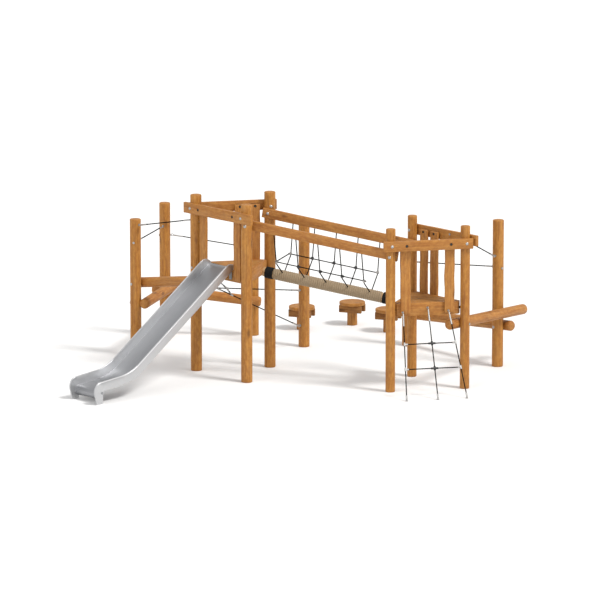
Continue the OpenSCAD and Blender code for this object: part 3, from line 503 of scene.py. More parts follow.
def fibre_cord(name, colour, pale, roughness=0.85, scale=(500, 500, 90), sheen=0.1):
    """Twisted yarn: fuzzy fibres and dusty high spots."""
    nodes = Nodes(name, Sheen_Weight=sheen, Sheen_Roughness=0.5, Specular_IOR_Level=0.05)
    yarn = nodes.noise(nodes.grain(scale), detail=4, roughness=0.7)
    dust = nodes.noise(nodes.grain((30, 30, 6)), detail=4)
    tint = nodes.ramp(yarn, (0.3, colour), (0.75, pale))
    tint = nodes.mix(nodes.ramp(dust, (0.5, 0.0), (0.8, 0.3)), tint, pale)
    rough = nodes.ramp(yarn, (0.3, roughness), (0.7, min(1.0, roughness + 0.12)))
    return nodes.finish(tint, rough, yarn, 0.5, 0.0008)


POST = timber("post timber", (0.52, 0.24, 0.045), (0.42, 0.17, 0.026), (0.26, 0.088, 0.012))
BOARD = timber("board timber", (0.50, 0.23, 0.050), (0.41, 0.165, 0.030), (0.27, 0.090, 0.014), 0.009)
DECK = timber(
    "deck timber", (0.48, 0.23, 0.055), (0.38, 0.165, 0.033), (0.24, 0.090, 0.016), 0.008, 0.35, 0.6)
# Rough, weathered timber for the plank spacers, deck joists and stool cleats. Its colours are also painted
# darker than the other timber, as painted shade for where these pieces sit: between rails and planks, under
# the decks and under the seats.
ROUGH_SHADED = timber(
    "rough timber with painted shade", (0.36, 0.17, 0.045), (0.27, 0.11, 0.025), (0.15, 0.055, 0.012), 0.008, 0.4, 0.75)
STOOL = timber("stool timber", (0.48, 0.22, 0.042), (0.40, 0.16, 0.025), (0.24, 0.085, 0.012), 0.007, 0.2)
BARE = timber("bare log timber", (0.66, 0.47, 0.25), (0.54, 0.34, 0.155), (0.36, 0.19, 0.075), 0.007, 0.1)
SLIDE_BED = steel("slide bed steel", (0.35, 0.355, 0.37), 0.42, (160, 160, 1.2))
SLIDE_PLATE = steel("slide side steel", (0.60, 0.605, 0.615), 0.40, (160, 160, 1.2))
BRIGHT = cast_metal("bright fittings", (0.48, 0.475, 0.465), 0.38)
DARK = cast_metal("dark fixings", (0.055, 0.05, 0.045), 0.5, 0.6)
PLASTIC = cast_metal("black clamps", (0.018, 0.018, 0.02), 0.45, 0.0)
ROPE = fibre_cord("black rope", (0.003, 0.003, 0.0035), (0.010, 0.010, 0.011), sheen=0.0)
WINDING = fibre_cord(
    "winding cord", (0.21, 0.15, 0.085), (0.40, 0.31, 0.21), 0.8, (300, 300, 60), sheen=0.15)
RUBBER = fibre_cord(
    "black rubber", (0.008, 0.008, 0.008), (0.02, 0.02, 0.02), 0.6, (60, 60, 60), sheen=0.0)
SLIDE_FIX = cast_metal("slide fixing steel", (0.36, 0.37, 0.38), 0.4)


# ---------------------------------------------------------------- reading the frame

def mesh_points(node):
    return coordinates(NODES[node].data)


def solids(node):
    """The points of each separate solid in a node, in the order of their lowest x."""
    points = mesh_points(node)
    _, same = np.unique(np.round(points, 5), axis=0, return_inverse=True)
    same = same.ravel()
    parent = list(range(same.max() + 1))

    def root(i):
        while parent[i] != i:
            parent[i] = parent[parent[i]]
            i = parent[i]
        return i

    for polygon in NODES[node].data.polygons:
        corners = [root(same[i]) for i in polygon.vertices]
        for other in corners[1:]:
            parent[root(other)] = root(corners[0])
    groups = {}
    for i, key in enumerate(same):
        groups.setdefault(root(key), []).append(i)
    found = [np.unique(np.round(points[group], 6), axis=0) for group in groups.values()]
    return sorted(found, key=lambda part: (round(part[:, 0].min(), 4), round(part[:, 1].min(), 4)))


def within(points, matrix):
    """The box of some points in a matrix's own frame."""
    turn = np.array(matrix.inverted())
    local = points @ turn[:3, :3].T + turn[:3, 3]
    return local.min(0), local.max(0)


def ring_middle(points, direction):
    """The middle of a round end, seen along a direction: from its extent at many angles, so that a
    bolt's recess in one side doesn't pull it over."""
    x = np.array(Vector(direction).orthogonal().normalized())
    y = np.cross(direction, x)
    middle = np.zeros(3)
    count = 24
    for i in range(count):
        angle = math.pi * i / count
        across = math.cos(angle) * x + math.sin(angle) * y
        reach = points @ across
        middle += across * (reach.min() + reach.max()) / count
    return middle


def bar_axis(points, end_part=0.020):
    """The ends and the radius of a straight round bar."""
    direction = np.linalg.svd(points - points.mean(0), full_matrices=False)[2][0]
    for _ in range(6):
        reach = points @ direction
        low, high = reach.min(), reach.max()
        start = ring_middle(points[reach < low + end_part], direction) + direction * low
        end = ring_middle(points[reach > high - end_part], direction) + direction * high
        direction = (end - start) / np.linalg.norm(end - start)
    away = points - start
    away = away - np.outer(away @ direction, direction)
    return Vector(start), Vector(end), float(np.linalg.norm(away, axis=1).max())


def top_outline(points):
    """The outline of a flat board's upper face, as plan points in order."""
    top = points[points[:, 2] > points[:, 2].max() - 1e-4][:, :2]
    top = np.unique(np.round(top, 5), axis=0)
    middle = top.mean(0)
    order = np.argsort(np.arctan2(top[:, 1] - middle[1], top[:, 0] - middle[0]))
    return [tuple(top[i]) for i in order]


def post_place(node):
    """An upright post's foot, radius and height."""
    low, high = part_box(node)
    return Vector(((low.x + high.x) / 2, (low.y + high.y) / 2, 0)), (high.y - low.y) / 2, high.z


class Tower:
    """A triangular tower: its middle, and the frames of its sides."""

    def __init__(self, key, front_angle):
        names = [n for n in NODES if n.startswith(f"tower_{key}_post_")]
        places = [post_place(n)[0] for n in sorted(names)]
        self.middle = sum(places, Vector()) / 3
        self.apothem = (places[0] - self.middle).length / 2
        self.key = key
        self.board_turn = math.radians(front_angle)

    def side(self, degrees):
        """x points out of the side, y along it, and the origin is on its posts' line at the ground."""
        turn = Matrix.Rotation(math.radians(degrees), 4, "Z")
        return Matrix.Translation(self.middle) @ turn @ Matrix.Translation((self.apothem, 0, 0))


TOWER_A = Tower("a", -90)
TOWER_B = Tower("b", 90)
SLIDE_SIDE = TOWER_A.side(210)
BRIDGE_SIDE = TOWER_A.side(-30)
BACK_SIDE_A = TOWER_A.side(90)
LADDER_SIDE = TOWER_B.side(-90)
BACK_SIDE_B = TOWER_B.side(30)


# ---------------------------------------------------------------- timber pieces

def make_posts():
    names = [n for n in sorted(NODES) if "_post_" in n]
    for seed, name in enumerate(names):
        foot, radius, height = post_place(name)
        build = Build(100 + seed)
        round_timber(build, foot, foot + Vector((0, 0, height)), radius, cracks=2, around=44)
        build.make(name + "_log", POST, replaces=[name])


def make_balance_logs():
    for index in range(1, 6):
        name = f"balance_log_{index}"
        start, end, radius = bar_axis(mesh_points(name))
        build = Build(200 + index)
        round_timber(build, start, end, radius, chamfer=0.024, cracks=3, around=44)
        build.make(name + "_round", BOARD, replaces=[name])


def oriented_board(build, points, matrix, along, **options):
    low, high = within(points, matrix)
    board(build, low, high, along, matrix, **options)


RECESS_RADIUS = 0.020
CUTTER_LENGTH = 0.060
CUTTER_MIDDLE = 0.020


def drill(piece, build, ends):
    """Cuts a round recess at each bolt end: a point and the direction out of the timber."""
    bm = bmesh.new()
    for point, out in ends:
        bmesh.ops.create_cone(
            bm, cap_ends=True, segments=28, radius1=RECESS_RADIUS, radius2=RECESS_RADIUS,
            depth=CUTTER_LENGTH, matrix=place(point + out * CUTTER_MIDDLE, out))
    data = bpy.data.meshes.new("recesses")
    bm.to_mesh(data)
    bm.free()
    cutter = bpy.data.objects.new("recesses", data)
    bpy.context.scene.collection.objects.link(cutter)
    cut = piece.modifiers.new("recesses", "BOOLEAN")
    cut.operation = "DIFFERENCE"
    cut.solver = "EXACT"
    cut.object = cutter
    graph = bpy.context.evaluated_depsgraph_get()
    piece.data = bpy.data.meshes.new_from_object(
        piece.evaluated_get(graph), preserve_all_data_layers=True, depsgraph=graph)
    piece.modifiers.clear()
    bpy.data.objects.remove(cutter)
    restore_grain(piece.data, build)


def restore_grain(mesh, build):
    """Sets a cut mesh's grain again, as cutting zeroes it: a board's grain is an affine map of its
    points, so it is fitted for each board and applied to the vertices nearest to that board."""
    points = coordinates(mesh)
    away = [np.linalg.norm(points[:, None] - part[None], axis=2).min(1) for part in build.verts]
    nearest = np.argmin(away, axis=0)
    grain = np.zeros_like(points)
    for index, (part, part_grain) in enumerate(zip(build.verts, build.grain)):
        fit = np.linalg.lstsq(np.c_[part, np.ones(len(part))], part_grain, rcond=None)[0]
        own = nearest == index
        grain[own] = np.c_[points[own], np.ones(own.sum())] @ fit
    mesh.attributes["grain"].data.foreach_set("vector", grain.astype(np.float32).ravel())


def bolt_ends(towards):
    """The outer or the inner end of every plank bolt, told by its distance from the tower's middle."""
    ends = []
    for points in solids("plank_bolts"):
        a, b, _ = bar_axis(points)
        middle = min((TOWER_A.middle, TOWER_B.middle), key=lambda m: (m.xy - a.xy).length)
        if (a.xy - middle.xy).length > (b.xy - middle.xy).length:
            a, b = b, a
        tip, other = (b, a) if towards == "outer" else (a, b)
        ends.append((tip, (tip - other).normalized()))
    return ends


def make_rails():
    for seed, (name, matrix) in enumerate((
        ("slide_rail", SLIDE_SIDE), ("tower_a_back_rail", BACK_SIDE_A),
        ("ladder_rail", LADDER_SIDE), ("tower_b_back_rail", BACK_SIDE_B),
    )):
        build = Build(300 + seed)
        oriented_board(build, mesh_points(name), matrix, 1, ease=0.006, wave=0.003)
        piece = build.make(name + "_board", BOARD, replaces=[name])
        drill(piece, build, [end for end in bolt_ends("outer") if near_box(end[0], name)])


def make_planks():
    sides = {"tower_a_planks": (SLIDE_SIDE, BACK_SIDE_A), "tower_b_planks": (LADDER_SIDE, BACK_SIDE_B)}
    for seed, (name, matrices) in enumerate(sides.items()):
        build = Build(320 + seed)
        for points in solids(name):
            matrix = min(matrices, key=lambda m: thickness(points, m))
            oriented_board(build, points, matrix, 2, ease=0.007, step=0.05, wave=0.018)
        piece = build.make(name + "_boards", BOARD, replaces=[name])
        drill(piece, build, [end for end in bolt_ends("inner") if near_box(end[0], name)])


def near_box(point, node, margin=0.03):
    """Whether a point is in a node's box, grown by a margin."""
    low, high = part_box(node)
    return all(low[i] - margin < point[i] < high[i] + margin for i in range(3))


def thickness(points, matrix):
    """How far some points reach along a side's outward axis."""
    low, high = within(points, matrix)
    return high[0] - low[0]


def make_spacers():
    build = Build(330)
    sides = (SLIDE_SIDE, BACK_SIDE_A, LADDER_SIDE, BACK_SIDE_B)
    for points in solids("plank_spacers"):
        matrix = min(sides, key=lambda m: thickness(points, m))
        oriented_board(build, points, matrix, 1, ease=0.003)
    # The spacers take the darker timber: painted shade for the gap between rail and planks.
    build.make("plank_spacer_blocks", ROUGH_SHADED, replaces=["plank_spacers"])


def make_decks():
    for seed, tower in enumerate((TOWER_A, TOWER_B)):
        across = (-math.sin(tower.board_turn), math.cos(tower.board_turn))
        lengthwise = (math.cos(tower.board_turn), math.sin(tower.board_turn))
        for part, material, slot, direction in (
            ("deck_boards", DECK, "deck_timber", across),
            # The joists take the darker timber: painted shade under the deck.
            ("joists", ROUGH_SHADED, "dark_timber", lengthwise),
            ("deck_ring", BOARD, "board_timber", None),
        ):
            node = f"tower_{tower.key}_{part}"
            build = Build(340 + 10 * seed + len(part))
            for points in solids(node):
                outline = top_outline(points)
                along = direction or longest_edge(outline)
                prism(build, outline, points[:, 2].min(), points[:, 2].max(), along)
            build.make(node + "_sawn", material, replaces=[node])


def longest_edge(outline):
    edges = [(b[0] - a[0], b[1] - a[1]) for a, b in zip(outline, outline[1:] + outline[:1])]
    return max(edges, key=lambda edge: math.hypot(*edge))


BEAM_DEPTH = 0.130


def make_beams():
    for seed, name in enumerate(("bridge_beam_front", "bridge_beam_back")):
        points = mesh_points(name)
        low, high = within(points, BRIDGE_SIDE)
        rise = points[:, 2].max() - points[:, 2].min()
        run = high[0] - low[0]
        slope = beam_slope(run, rise)
        middle = Vector((low + high) / 2)
        matrix = BRIDGE_SIDE @ Matrix.Translation(middle) @ Matrix.Rotation(slope, 4, "Y")
        length = beam_length(run, slope)
        half = Vector((length / 2, (high[1] - low[1]) / 2, BEAM_DEPTH / 2))
        build = Build(360 + seed)
        board(build, -half, half, 0, matrix, ease=0.006, wave=0.002)
        build.make(name + "_board", BOARD, replaces=[name])


def beam_length(run, slope):
    return (run - BEAM_DEPTH * math.sin(slope)) / math.cos(slope)


def beam_slope(run, rise):
    """The slope of a beam whose box is run long and rise high."""
    slope = 0.0
    for _ in range(30):
        slope = math.asin((rise - BEAM_DEPTH * math.cos(slope)) / beam_length(run, slope))
    return slope


STOOL_TURN = math.radians(148)


def round_box(points):
    """The middle of an upright round's lower end, its radius and its height."""
    low, high = points.min(0), points.max(0)
    middle = Vector(((low[0] + high[0]) / 2, (low[1] + high[1]) / 2, low[2]))
    return middle, (high[0] - low[0]) / 2, high[2] - low[2]


def make_stools():
    seats = Build(400)
    for points in solids("stool_seats"):
        seat(seats, *round_box(points))
    seats.make("stool_seat_discs", STOOL, replaces=["stool_seats"])
    cleats = Build(401)
    turned = Matrix.Rotation(STOOL_TURN, 4, "Z")
    for points in solids("stool_cleats"):
        oriented_board(cleats, points, turned, 0, ease=0.005)
    # The cleats take the darker timber: painted shade under the seats.
    cleats.make("stool_cleat_boards", ROUGH_SHADED, replaces=["stool_cleats"])
    legs = Build(402)
    for points in solids("stool_posts"):
        foot, radius, _ = round_box(points[points[:, 2] < 0.001])
        foot.z = 0
        top = foot + Vector((0, 0, points[:, 2].max()))
        round_timber(legs, foot, top, radius, 0.004, 3, 36)
    legs.make("stool_post_logs", STOOL, replaces=["stool_posts"])


def seat(build, middle, radius, thick, around=72):
    """A thick round seat with a wide eased edge and a slightly dished top."""
    profile = [(0.004, 0), (radius * 0.5, 0), (radius - 0.010, 0)]
    profile += [(radius - 0.003, 0.003), (radius, 0.010)]
    edge = 0.013
    profile += [
        (radius - edge + edge * math.cos(a), thick - edge + edge * math.sin(a))
        for a in (math.radians(10 * i) for i in range(0, 10))
    ]
    profile += [(radius * f, thick - 0.002 * (1 - f * f)) for f in (0.8, 0.6, 0.4, 0.2, 0.01)]
    local = []
    seed = build.rnd.uniform(0, 100)
    for r, z in profile:
        for j in range(around):
            angle = math.tau * j / around
            uneven = 1 - 0.006 * (1 + wobble(math.cos(angle), math.sin(angle), 0, 0.5, seed))
            local.append((r * uneven * math.cos(angle), r * uneven * math.sin(angle), z))
    local += [(0, 0, profile[0][1]), (0, 0, profile[-1][1])]
    turn = build.rnd.uniform(0, math.pi)
    grain = [
        (-x * math.sin(turn) + y * math.cos(turn), z + 0.1, x * math.cos(turn) + y * math.sin(turn))
        for x, y, z in local
    ]
    build.add(local, skin(len(profile), around), Matrix.Translation(middle), grain)


# ---------------------------------------------------------------- the swinging log

def make_log():
    start, end, radius = bar_axis(mesh_points("log_core"))
    core = Build(500)
    round_timber(core, start, end, radius, chamfer=0.008, cracks=3, around=40)
    core.make("log_core_timber", BARE, body="swing_log", replaces=["log_core"])

    first, last, outer = bar_axis(mesh_points("log_winding"))
    cord = Build(501)
    wind(cord, first, last, radius - 0.004, outer)
    cord.make("log_winding_cord", WINDING, body="swing_log", replaces=["log_winding"])

    collars = Build(502)
    for points in solids("log_buffers"):
        low, high, collar = bar_axis(points)
        length = (high - low).length
        profile = [(radius - 0.001, 0.002), (collar - 0.006, 0)]
        profile += arc_profile(collar, 0.006, length)
        profile += [(radius - 0.001, length - 0.002)]
        lathe(collars, profile, place(low, high - low), 48, closed=True)
    collars.make("log_buffer_collars", RUBBER, body="swing_log",
                 replaces=["log_buffers"])


def arc_profile(radius, ease, length):
    """The outside of a collar: rounded rims and two shallow grooves."""
    quarter = [math.radians(a) for a in (30, 60, 90)]
    rim = [(radius - ease + ease * math.sin(a), ease - ease * math.cos(a)) for a in quarter]
    groove = ((0, -0.004), (0.002, -0.002), (0.002, 0.002), (0, 0.004))
    grooves = [(radius - sunk, length * share + off) for share in (0.33, 0.67) for sunk, off in groove]
    return rim + grooves + [(r, length - z) for r, z in reversed(rim)]


def wind(build, start, end, inner, outer, pitch=0.0295, around=28):
    """One cord wound round the log, turn against turn, from start to end."""
    matrix = place(start, end - start)
    length = (end - start).length
    thick = (outer - inner) / 2
    half = pitch / 2 * 0.98
    turns = (length - 2 * half) / pitch
    count = round(turns * around)
    section = 10
    local, grain = [], []
    for i in range(count + 1):
        angle = math.tau * i / around
        middle = half + pitch * i / around
        for j in range(section):
            turn = math.tau * j / section
            r = inner + thick + thick * math.cos(turn)
            z = middle + half * math.sin(turn)
            local.append((r * math.cos(angle), r * math.sin(angle), z))
            twist = turn + angle * 3
            grain.append((0.009 * math.cos(twist), 0.009 * math.sin(twist), angle * outer))
    for i in (0, count):
        angle = math.tau * i / around
        r = inner + thick
        local.append((r * math.cos(angle), r * math.sin(angle), half + pitch * i / around))
        grain.append((0, 0, angle * outer))
    build.add(local, skin(count + 1, section), matrix, grain)


def rope_pair_paths(k):
    """The two V-shaped ropes of a pair: each from its beam, round its bend, to the log."""
    upper, lower = [], []
    for points in solids(f"rope_pair_{k}"):
        (upper if points[:, 2].max() > bend_level(k) else lower).append(bar_axis(points))
    paths = []
    for low_a, low_b, radius in lower:
        outside, inside = (low_a, low_b) if low_a.z > low_b.z else (low_b, low_a)
        bend = outside + (outside - inside).normalized() * (radius + 0.0003)
        mate = min(upper, key=lambda bar: min((bar[0] - bend).length, (bar[1] - bend).length))
        top = mate[0] if mate[0].z > mate[1].z else mate[1]
        paths.append((top, bend, inside))
    return paths


def bend_level(k):
    low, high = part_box(f"rope_pair_{k}")
    return (low.z + high.z) / 2


SIDE_ROPE_ZONE = 0.017
TIE_PLACE = 0.012
SHELL_BORE = 0.0083


def side_lines():
    """The two long ropes beside the log, each from its upper end, without the rope that ties those
    ends together. The tie's ends stay in the outermost zone, so the radius found is too large."""
    points = mesh_points("side_ropes")
    turn = np.array(BRIDGE_SIDE.inverted())
    across = points @ turn[1, :3] + turn[1, 3]
    reach = np.abs(across).max() - SIDE_ROPE_ZONE
    bars = [bar_axis(points[across < -reach]), bar_axis(points[across > reach])]
    return [(a, b, r) if a.z > b.z else (b, a, r) for a, b, r in bars]


def make_bridge_ropes():
    side_bars = side_lines()
    for k in range(1, 6):
        build = Build(510 + k)
        for path in rope_pair_paths(k):
            laid_rope(build, path, soften=3)
        build.make(f"rope_pair_{k}_laid", ROPE, body=f"swing_ropes_{k}",
                   replaces=[f"rope_pair_{k}"])
    sides = Build(520)
    for start, end, _ in side_bars:
        laid_rope(sides, (start, end))
    laid_rope(sides, [start + (end - start).normalized() * TIE_PLACE for start, end, _ in side_bars])
    sides.make("side_ropes_laid", ROPE, body="side_lines", replaces=["side_ropes"])

    shells = Build(521)
    low_end, high_end, half_cross = 0.0085, 0.0415, 0.022
    for k in (2, 3, 4):
        for top, bend, _ in rope_pair_paths(k):
            up = (top - bend).normalized()
            tube(shells, bend + up * low_end, bend + up * high_end, 0.0175, 0.0122)
            near = min(side_bars, key=lambda b: line_distance(b, bend))
            point, direction = nearest_on(near, bend + up * 0.02)
            tube(shells, point - direction * half_cross, point + direction * half_cross, 0.0138, SHELL_BORE)
    shells.make("side_rope_cross_shells", PLASTIC, body="side_lines")


def nearest_on(bar, point):
    direction = (bar[1] - bar[0]).normalized()
    return bar[0] + direction * (point - bar[0]).dot(direction), direction


def line_distance(bar, point):
    return (nearest_on(bar, point)[0] - point).length


# ---------------------------------------------------------------- ropes between posts

def make_straight_ropes():
    for seed, node in enumerate(("handrail_ropes", "net_ropes", "ladder_ropes")):
        build = Build(530 + seed)
        for points in solids(node):
            start, end, _ = bar_axis(points)
            laid_rope(build, (start, end))
        build.make(node + "_laid", ROPE, replaces=[node])


def make_ladder_crosses():
    """Black shells over the clamps on the rope ladder's middle rope."""
    bars = [bar_axis(points) for points in solids("ladder_ropes")]
    uprights = sorted((b for b in bars if abs(b[1].z - b[0].z) > 0.5), key=lambda b: b[0].x + b[1].x)
    rows = [b for b in bars if abs(b[1].z - b[0].z) < 0.5]
    middle = uprights[1]
    half_sleeve = 0.026
    build = Build(540)
    for start, end, _ in rows:
        inner = min((start, end), key=lambda p: line_distance(middle, p))
        outer = end if inner is start else start
        centre, direction = nearest_on(middle, inner)
        out = (outer - inner).normalized()
        tube(build, centre - direction * half_sleeve, centre + direction * half_sleeve, 0.0145, SHELL_BORE)
        tube(build, centre + out * 0.010, inner + out * 0.030, 0.0135, SHELL_BORE)
    build.make("ladder_cross_shells", PLASTIC)


# ---------------------------------------------------------------- slide

SLIDE_SLOPE = math.radians(35.5)
RUNOUT_SLOPE = math.radians(5.5)
NOSE_END = math.radians(-15)
PLATE_GAP = 0.0002
PLATE_THICK = 0.006
RIM_WIDE = 0.009
RIM_DEEP = 0.008


class Slide:
    """The slide's outline in its own plane: x out from the planks, y up."""

    def __init__(self):
        self.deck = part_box("tower_a_deck_boards")[1].z
        self.ear_r, self.nose_r, self.bend_r = 0.125, 0.122, 0.600
        self.ear = Vector((0.034, 1.550 - self.ear_r))
        self.nose = Vector((2.268, 0.172))
        self.depth, self.bed_drop, self.head_r, self.lip_r = 0.128, 0.112, 0.110, 0.066
        self.chute_start = self.ear + self.ear_r * self.normal(SLIDE_SLOPE)
        run_start = self.nose + self.nose_r * self.normal(RUNOUT_SLOPE)
        corner = crossing(self.chute_start, self.fall(SLIDE_SLOPE), run_start, self.fall(RUNOUT_SLOPE))
        middle = (SLIDE_SLOPE + RUNOUT_SLOPE) / 2
        reach = self.bend_r / math.cos((SLIDE_SLOPE - RUNOUT_SLOPE) / 2)
        self.bend = corner + reach * self.normal(middle)
        self.matrix = SLIDE_SIDE @ Matrix.Translation((0.028, 0, 0))

    @staticmethod
    def normal(slope):
        """The direction up from a slope."""
        return Vector((math.sin(slope), math.cos(slope)))

    @staticmethod
    def fall(slope):
        """The direction down along a slope."""
        return Vector((math.cos(slope), -math.sin(slope)))

    def bend_arc(self, depth):
        """Points and upward normals on the bend into the run-out, at a depth below the rim."""
        start, end = 1.5 * math.pi - SLIDE_SLOPE, 1.5 * math.pi - RUNOUT_SLOPE
        return [(p, -n) for p, n in arc(self.bend, self.bend_r + depth, start, end, 14)]

    def rim(self):
        """Points and outward normals along the rim, from the ear round the nose to the toe."""
        path = arc(self.ear, self.ear_r, math.radians(150), math.pi / 2 - SLIDE_SLOPE, 14)
        path += self.bend_arc(0)
        path += arc(self.nose, self.nose_r, math.pi / 2 - RUNOUT_SLOPE, NOSE_END, 18)
        nose_tip, outward = path[-1]
        downward = Vector((math.sin(NOSE_END), -math.cos(NOSE_END)))
        path.append((nose_tip + 0.124 * downward, outward))
        return path

    def bed(self):
        """Points and upward normals along the bed, from over the deck's edge to the lip."""
        line = self.chute_start - self.bed_drop * self.normal(SLIDE_SLOPE)
        head_z = self.deck + 0.008
        level = Vector((0, head_z - self.head_r * (1 - math.cos(SLIDE_SLOPE))))
        head_end = crossing(level, Vector((1, 0)), line, self.fall(SLIDE_SLOPE))
        head = head_end - self.head_r * self.normal(SLIDE_SLOPE)
        inward = self.nose_r - self.bed_drop - self.lip_r
        lip = self.nose + Vector((-0.033, 0)) + inward * self.normal(RUNOUT_SLOPE)
        path = [(Vector((-0.091, head_z)), Vector((0, 1)))]
        path += arc(head, self.head_r, math.pi / 2, math.pi / 2 - SLIDE_SLOPE, 8)
        path += self.bend_arc(self.bed_drop)
        path += arc(lip, self.lip_r, math.pi / 2 - RUNOUT_SLOPE, math.radians(-75), 20)
        return path

    def plate(self):
        """The outline of a side plate."""
        rim = [p for p, _ in self.rim()]
        foot_r = 0.014
        front = Vector((self.nose.x + 0.069, foot_r))
        back = Vector((self.nose.x - foot_r, foot_r))
        heel = self.nose + (self.nose_r - self.depth) * self.normal(RUNOUT_SLOPE)
        plate_z = self.deck + 0.004
        low = self.chute_start - self.depth * self.normal(SLIDE_SLOPE)
        points = rim
        points += [p for p, _ in arc(front, foot_r, NOSE_END, math.radians(-90), 4)]
        points += [p for p, _ in arc(back, foot_r, math.radians(-90), math.radians(-180), 4)]
        points += [Vector((back.x - foot_r - 0.006, 0.120)), heel - 0.050 * self.fall(RUNOUT_SLOPE)]
        points += [p for p, _ in reversed(self.bend_arc(self.depth))]
        points += [crossing(low, self.fall(SLIDE_SLOPE), Vector((0, plate_z)), Vector((1, 0)))]
        points += [Vector((rim[0].x, plate_z))]
        return points


def arc(centre, radius, start, end, count):
    """Points on an arc, each with its outward normal."""
    out = []
    for i in range(count + 1):
        angle = start + (end - start) * i / count
        normal = Vector((math.cos(angle), math.sin(angle)))
        out.append((Vector(centre) + radius * normal, normal))
    return out


def crossing(p, u, q, v):
    """Where two lines in a plane cross."""
    return p + u * ((q - p).cross(v) / u.cross(v))


def fill_runs(path, step=0.06):
    """Adds points along the long straight runs of a path of points and normals."""
    out = [path[0]]
    for (a, na), (b, nb) in zip(path, path[1:]):
        count = max(1, round((b - a).length / step))
        out += [
            (a + (b - a) * i / count, (na + (nb - na) * i / count).normalized())
            for i in range(1, count + 1)
        ]
    return out


def swept(build, path, section, matrix):
    """Sweeps a closed section of (across, up) points along a path in the slide's plane."""
    local, grain = [], []
    reach = 0.0
    for i, (point, normal) in enumerate(path):
        if i:
            reach += (point - path[i - 1][0]).length
        for across, up in section:
            at = point + normal * up
            local.append((at.x, across, at.y))
            grain.append((across, up, reach))
    n = len(section)
    for end in (0, len(path) - 1):
        ring = np.array(local[end * n:(end + 1) * n])
        local.append(tuple(ring.mean(0)))
        grain.append((0, 0, reach if end else 0))
    build.add(local, skin(len(path), n), matrix, grain)


def make_slide():
    slide = Slide()
    low, high = within(mesh_points("slide_bed"), slide.matrix)
    half = (high[1] - low[1]) / 2
    middle = (high[1] + low[1]) / 2
    fillet = 0.005
    turns = [math.radians(a) for a in (0, 30, 60, 90)]
    below = -0.004
    left, right = middle - half, middle + half
    section = [(left, below), (left, fillet)]
    section += [(left + fillet - fillet * math.cos(a), fillet - fillet * math.sin(a)) for a in turns]
    section += [(middle + half * f, 0) for f in (-0.6, -0.2, 0.2, 0.6)]
    section += [(right - fillet + fillet * math.sin(a), fillet - fillet * math.cos(a)) for a in turns]
    section += [(right, below)]
    bed = Build(600)
    swept(bed, fill_runs(slide.bed()), section, slide.matrix)
    bed.make("slide_bed_sheet", SLIDE_BED, replaces=["slide_bed"])

    plate = slide.plate()
    for seed, (name, side) in enumerate((("slide_side_left", 1), ("slide_side_right", -1))):
        build = Build(610 + seed)
        inner = middle + side * (half + PLATE_GAP)
        outer = inner + side * PLATE_THICK
        flat_plate(build, plate, inner, outer, slide.matrix)
        rolled = [
            (outer + side * (RIM_WIDE + RIM_WIDE * math.cos(a)), -RIM_DEEP + RIM_DEEP * math.sin(a))
            for a in (math.tau * i / 16 for i in range(16))
        ]
        if side < 0:
            rolled.reverse()
        swept(build, fill_runs(slide.rim()), rolled, slide.matrix)
        build.make(name + "_plate", SLIDE_PLATE, replaces=[name])


def flat_plate(build, outline, inner, outer, matrix, ease=0.0015):
    """A plate in the slide's plane, from one distance across it to another, with eased edges."""
    bm = extrude([(p.x, inner, p.y) for p in outline], 1, outer)
    rim = [e for e in bm.edges if abs(e.verts[0].co.y - e.verts[1].co.y) < 1e-6]
    bmesh.ops.bevel(bm, geom=rim, offset=ease, segments=1, affect="EDGES")
    bmesh.ops.triangulate(bm, faces=[f for f in bm.faces if len(f.verts) > 4])
    local, faces = taken(bm)
    sine, cosine = math.sin(SLIDE_SLOPE), math.cos(SLIDE_SLOPE)
    grain = [(x * sine + z * cosine, y, x * cosine - z * sine) for x, y, z in local]
    build.add(local, faces, matrix, grain)


# ---------------------------------------------------------------- nodes that keep their frame mesh

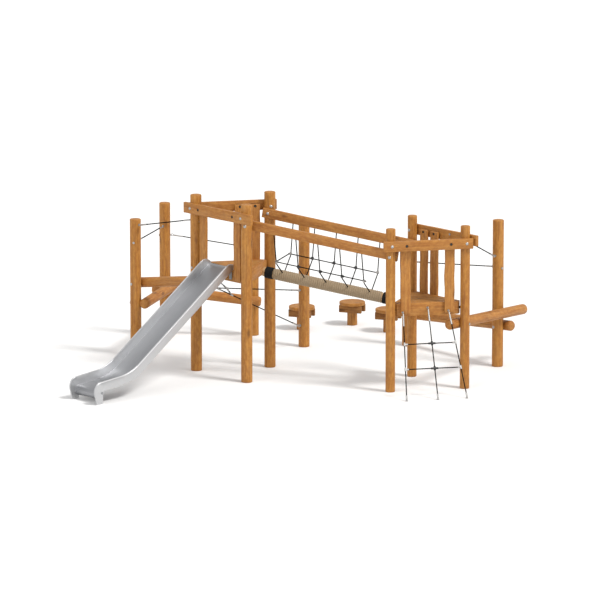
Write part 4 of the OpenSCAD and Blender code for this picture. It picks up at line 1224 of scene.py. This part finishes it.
def dress_frame():
    kept = {
        BRIGHT: ("frame_bolts", "balance_log_bolts", "side_rope_clamps", "handrail_fittings",
                 "net_fittings", "ladder_fittings"),
        DARK: ("plank_bolts", "deck_tie_rods"),
        SLIDE_FIX: ("slide_fixings",),
    }
    for material, names in kept.items():
        for name in names:
            piece = NODES[name]
            piece.data.materials.clear()
            piece.data.materials.append(material)


# ---------------------------------------------------------------- floor and light

def add_floor():
    bpy.ops.mesh.primitive_plane_add(size=170, location=(0, 0, 0))
    floor = bpy.context.object
    floor.name = "floor"
    nodes = Nodes("pale floor", Specular_IOR_Level=0.2)
    mottled = nodes.noise(nodes.new("ShaderNodeTexCoord").outputs["Object"], scale=0.6, detail=3)
    colour = nodes.ramp(mottled, (0.3, (0.82, 0.82, 0.82)), (0.7, (0.86, 0.86, 0.86)))
    roughness = nodes.ramp(mottled, (0, 0.7), (1, 0.8))
    floor.data.materials.append(nodes.finish(colour, roughness, mottled, 0.0))


def add_sun(name, towards, strength, angle, colour=(1, 1, 1)):
    data = bpy.data.lights.new(name, "SUN")
    data.energy = strength
    data.angle = math.radians(angle)
    data.color = colour
    lamp = bpy.data.objects.new(name, data)
    lamp.rotation_euler = Vector(towards).to_track_quat("Z", "Y").to_euler()
    bpy.context.scene.collection.objects.link(lamp)


def add_light():
    right = Vector((math.cos(VIEW_AZIMUTH), math.sin(VIEW_AZIMUTH), 0))
    front = Vector((right.y, -right.x, 0))
    add_sun("key", 0.62 * right + 0.35 * front + Vector((0, 0, 0.95)), 2.4, 14, (1, 0.985, 0.96))
    add_sun("fill", -0.7 * right + 0.8 * front + Vector((0, 0, 0.5)), 0.6, 40)
    world = bpy.data.worlds.new("studio")
    world.use_nodes = True
    world.node_tree.nodes["Background"].inputs["Color"].default_value = (1, 1, 1, 1)
    world.node_tree.nodes["Background"].inputs["Strength"].default_value = 0.75
    bpy.context.scene.world = world
    bpy.context.scene.view_settings.view_transform = "Standard"


make_posts()
make_balance_logs()
make_rails()
make_planks()
make_spacers()
make_decks()
make_beams()
make_stools()
make_log()
make_bridge_ropes()
make_straight_ropes()
make_ladder_crosses()
make_slide()
dress_frame()
add_floor()
add_light()
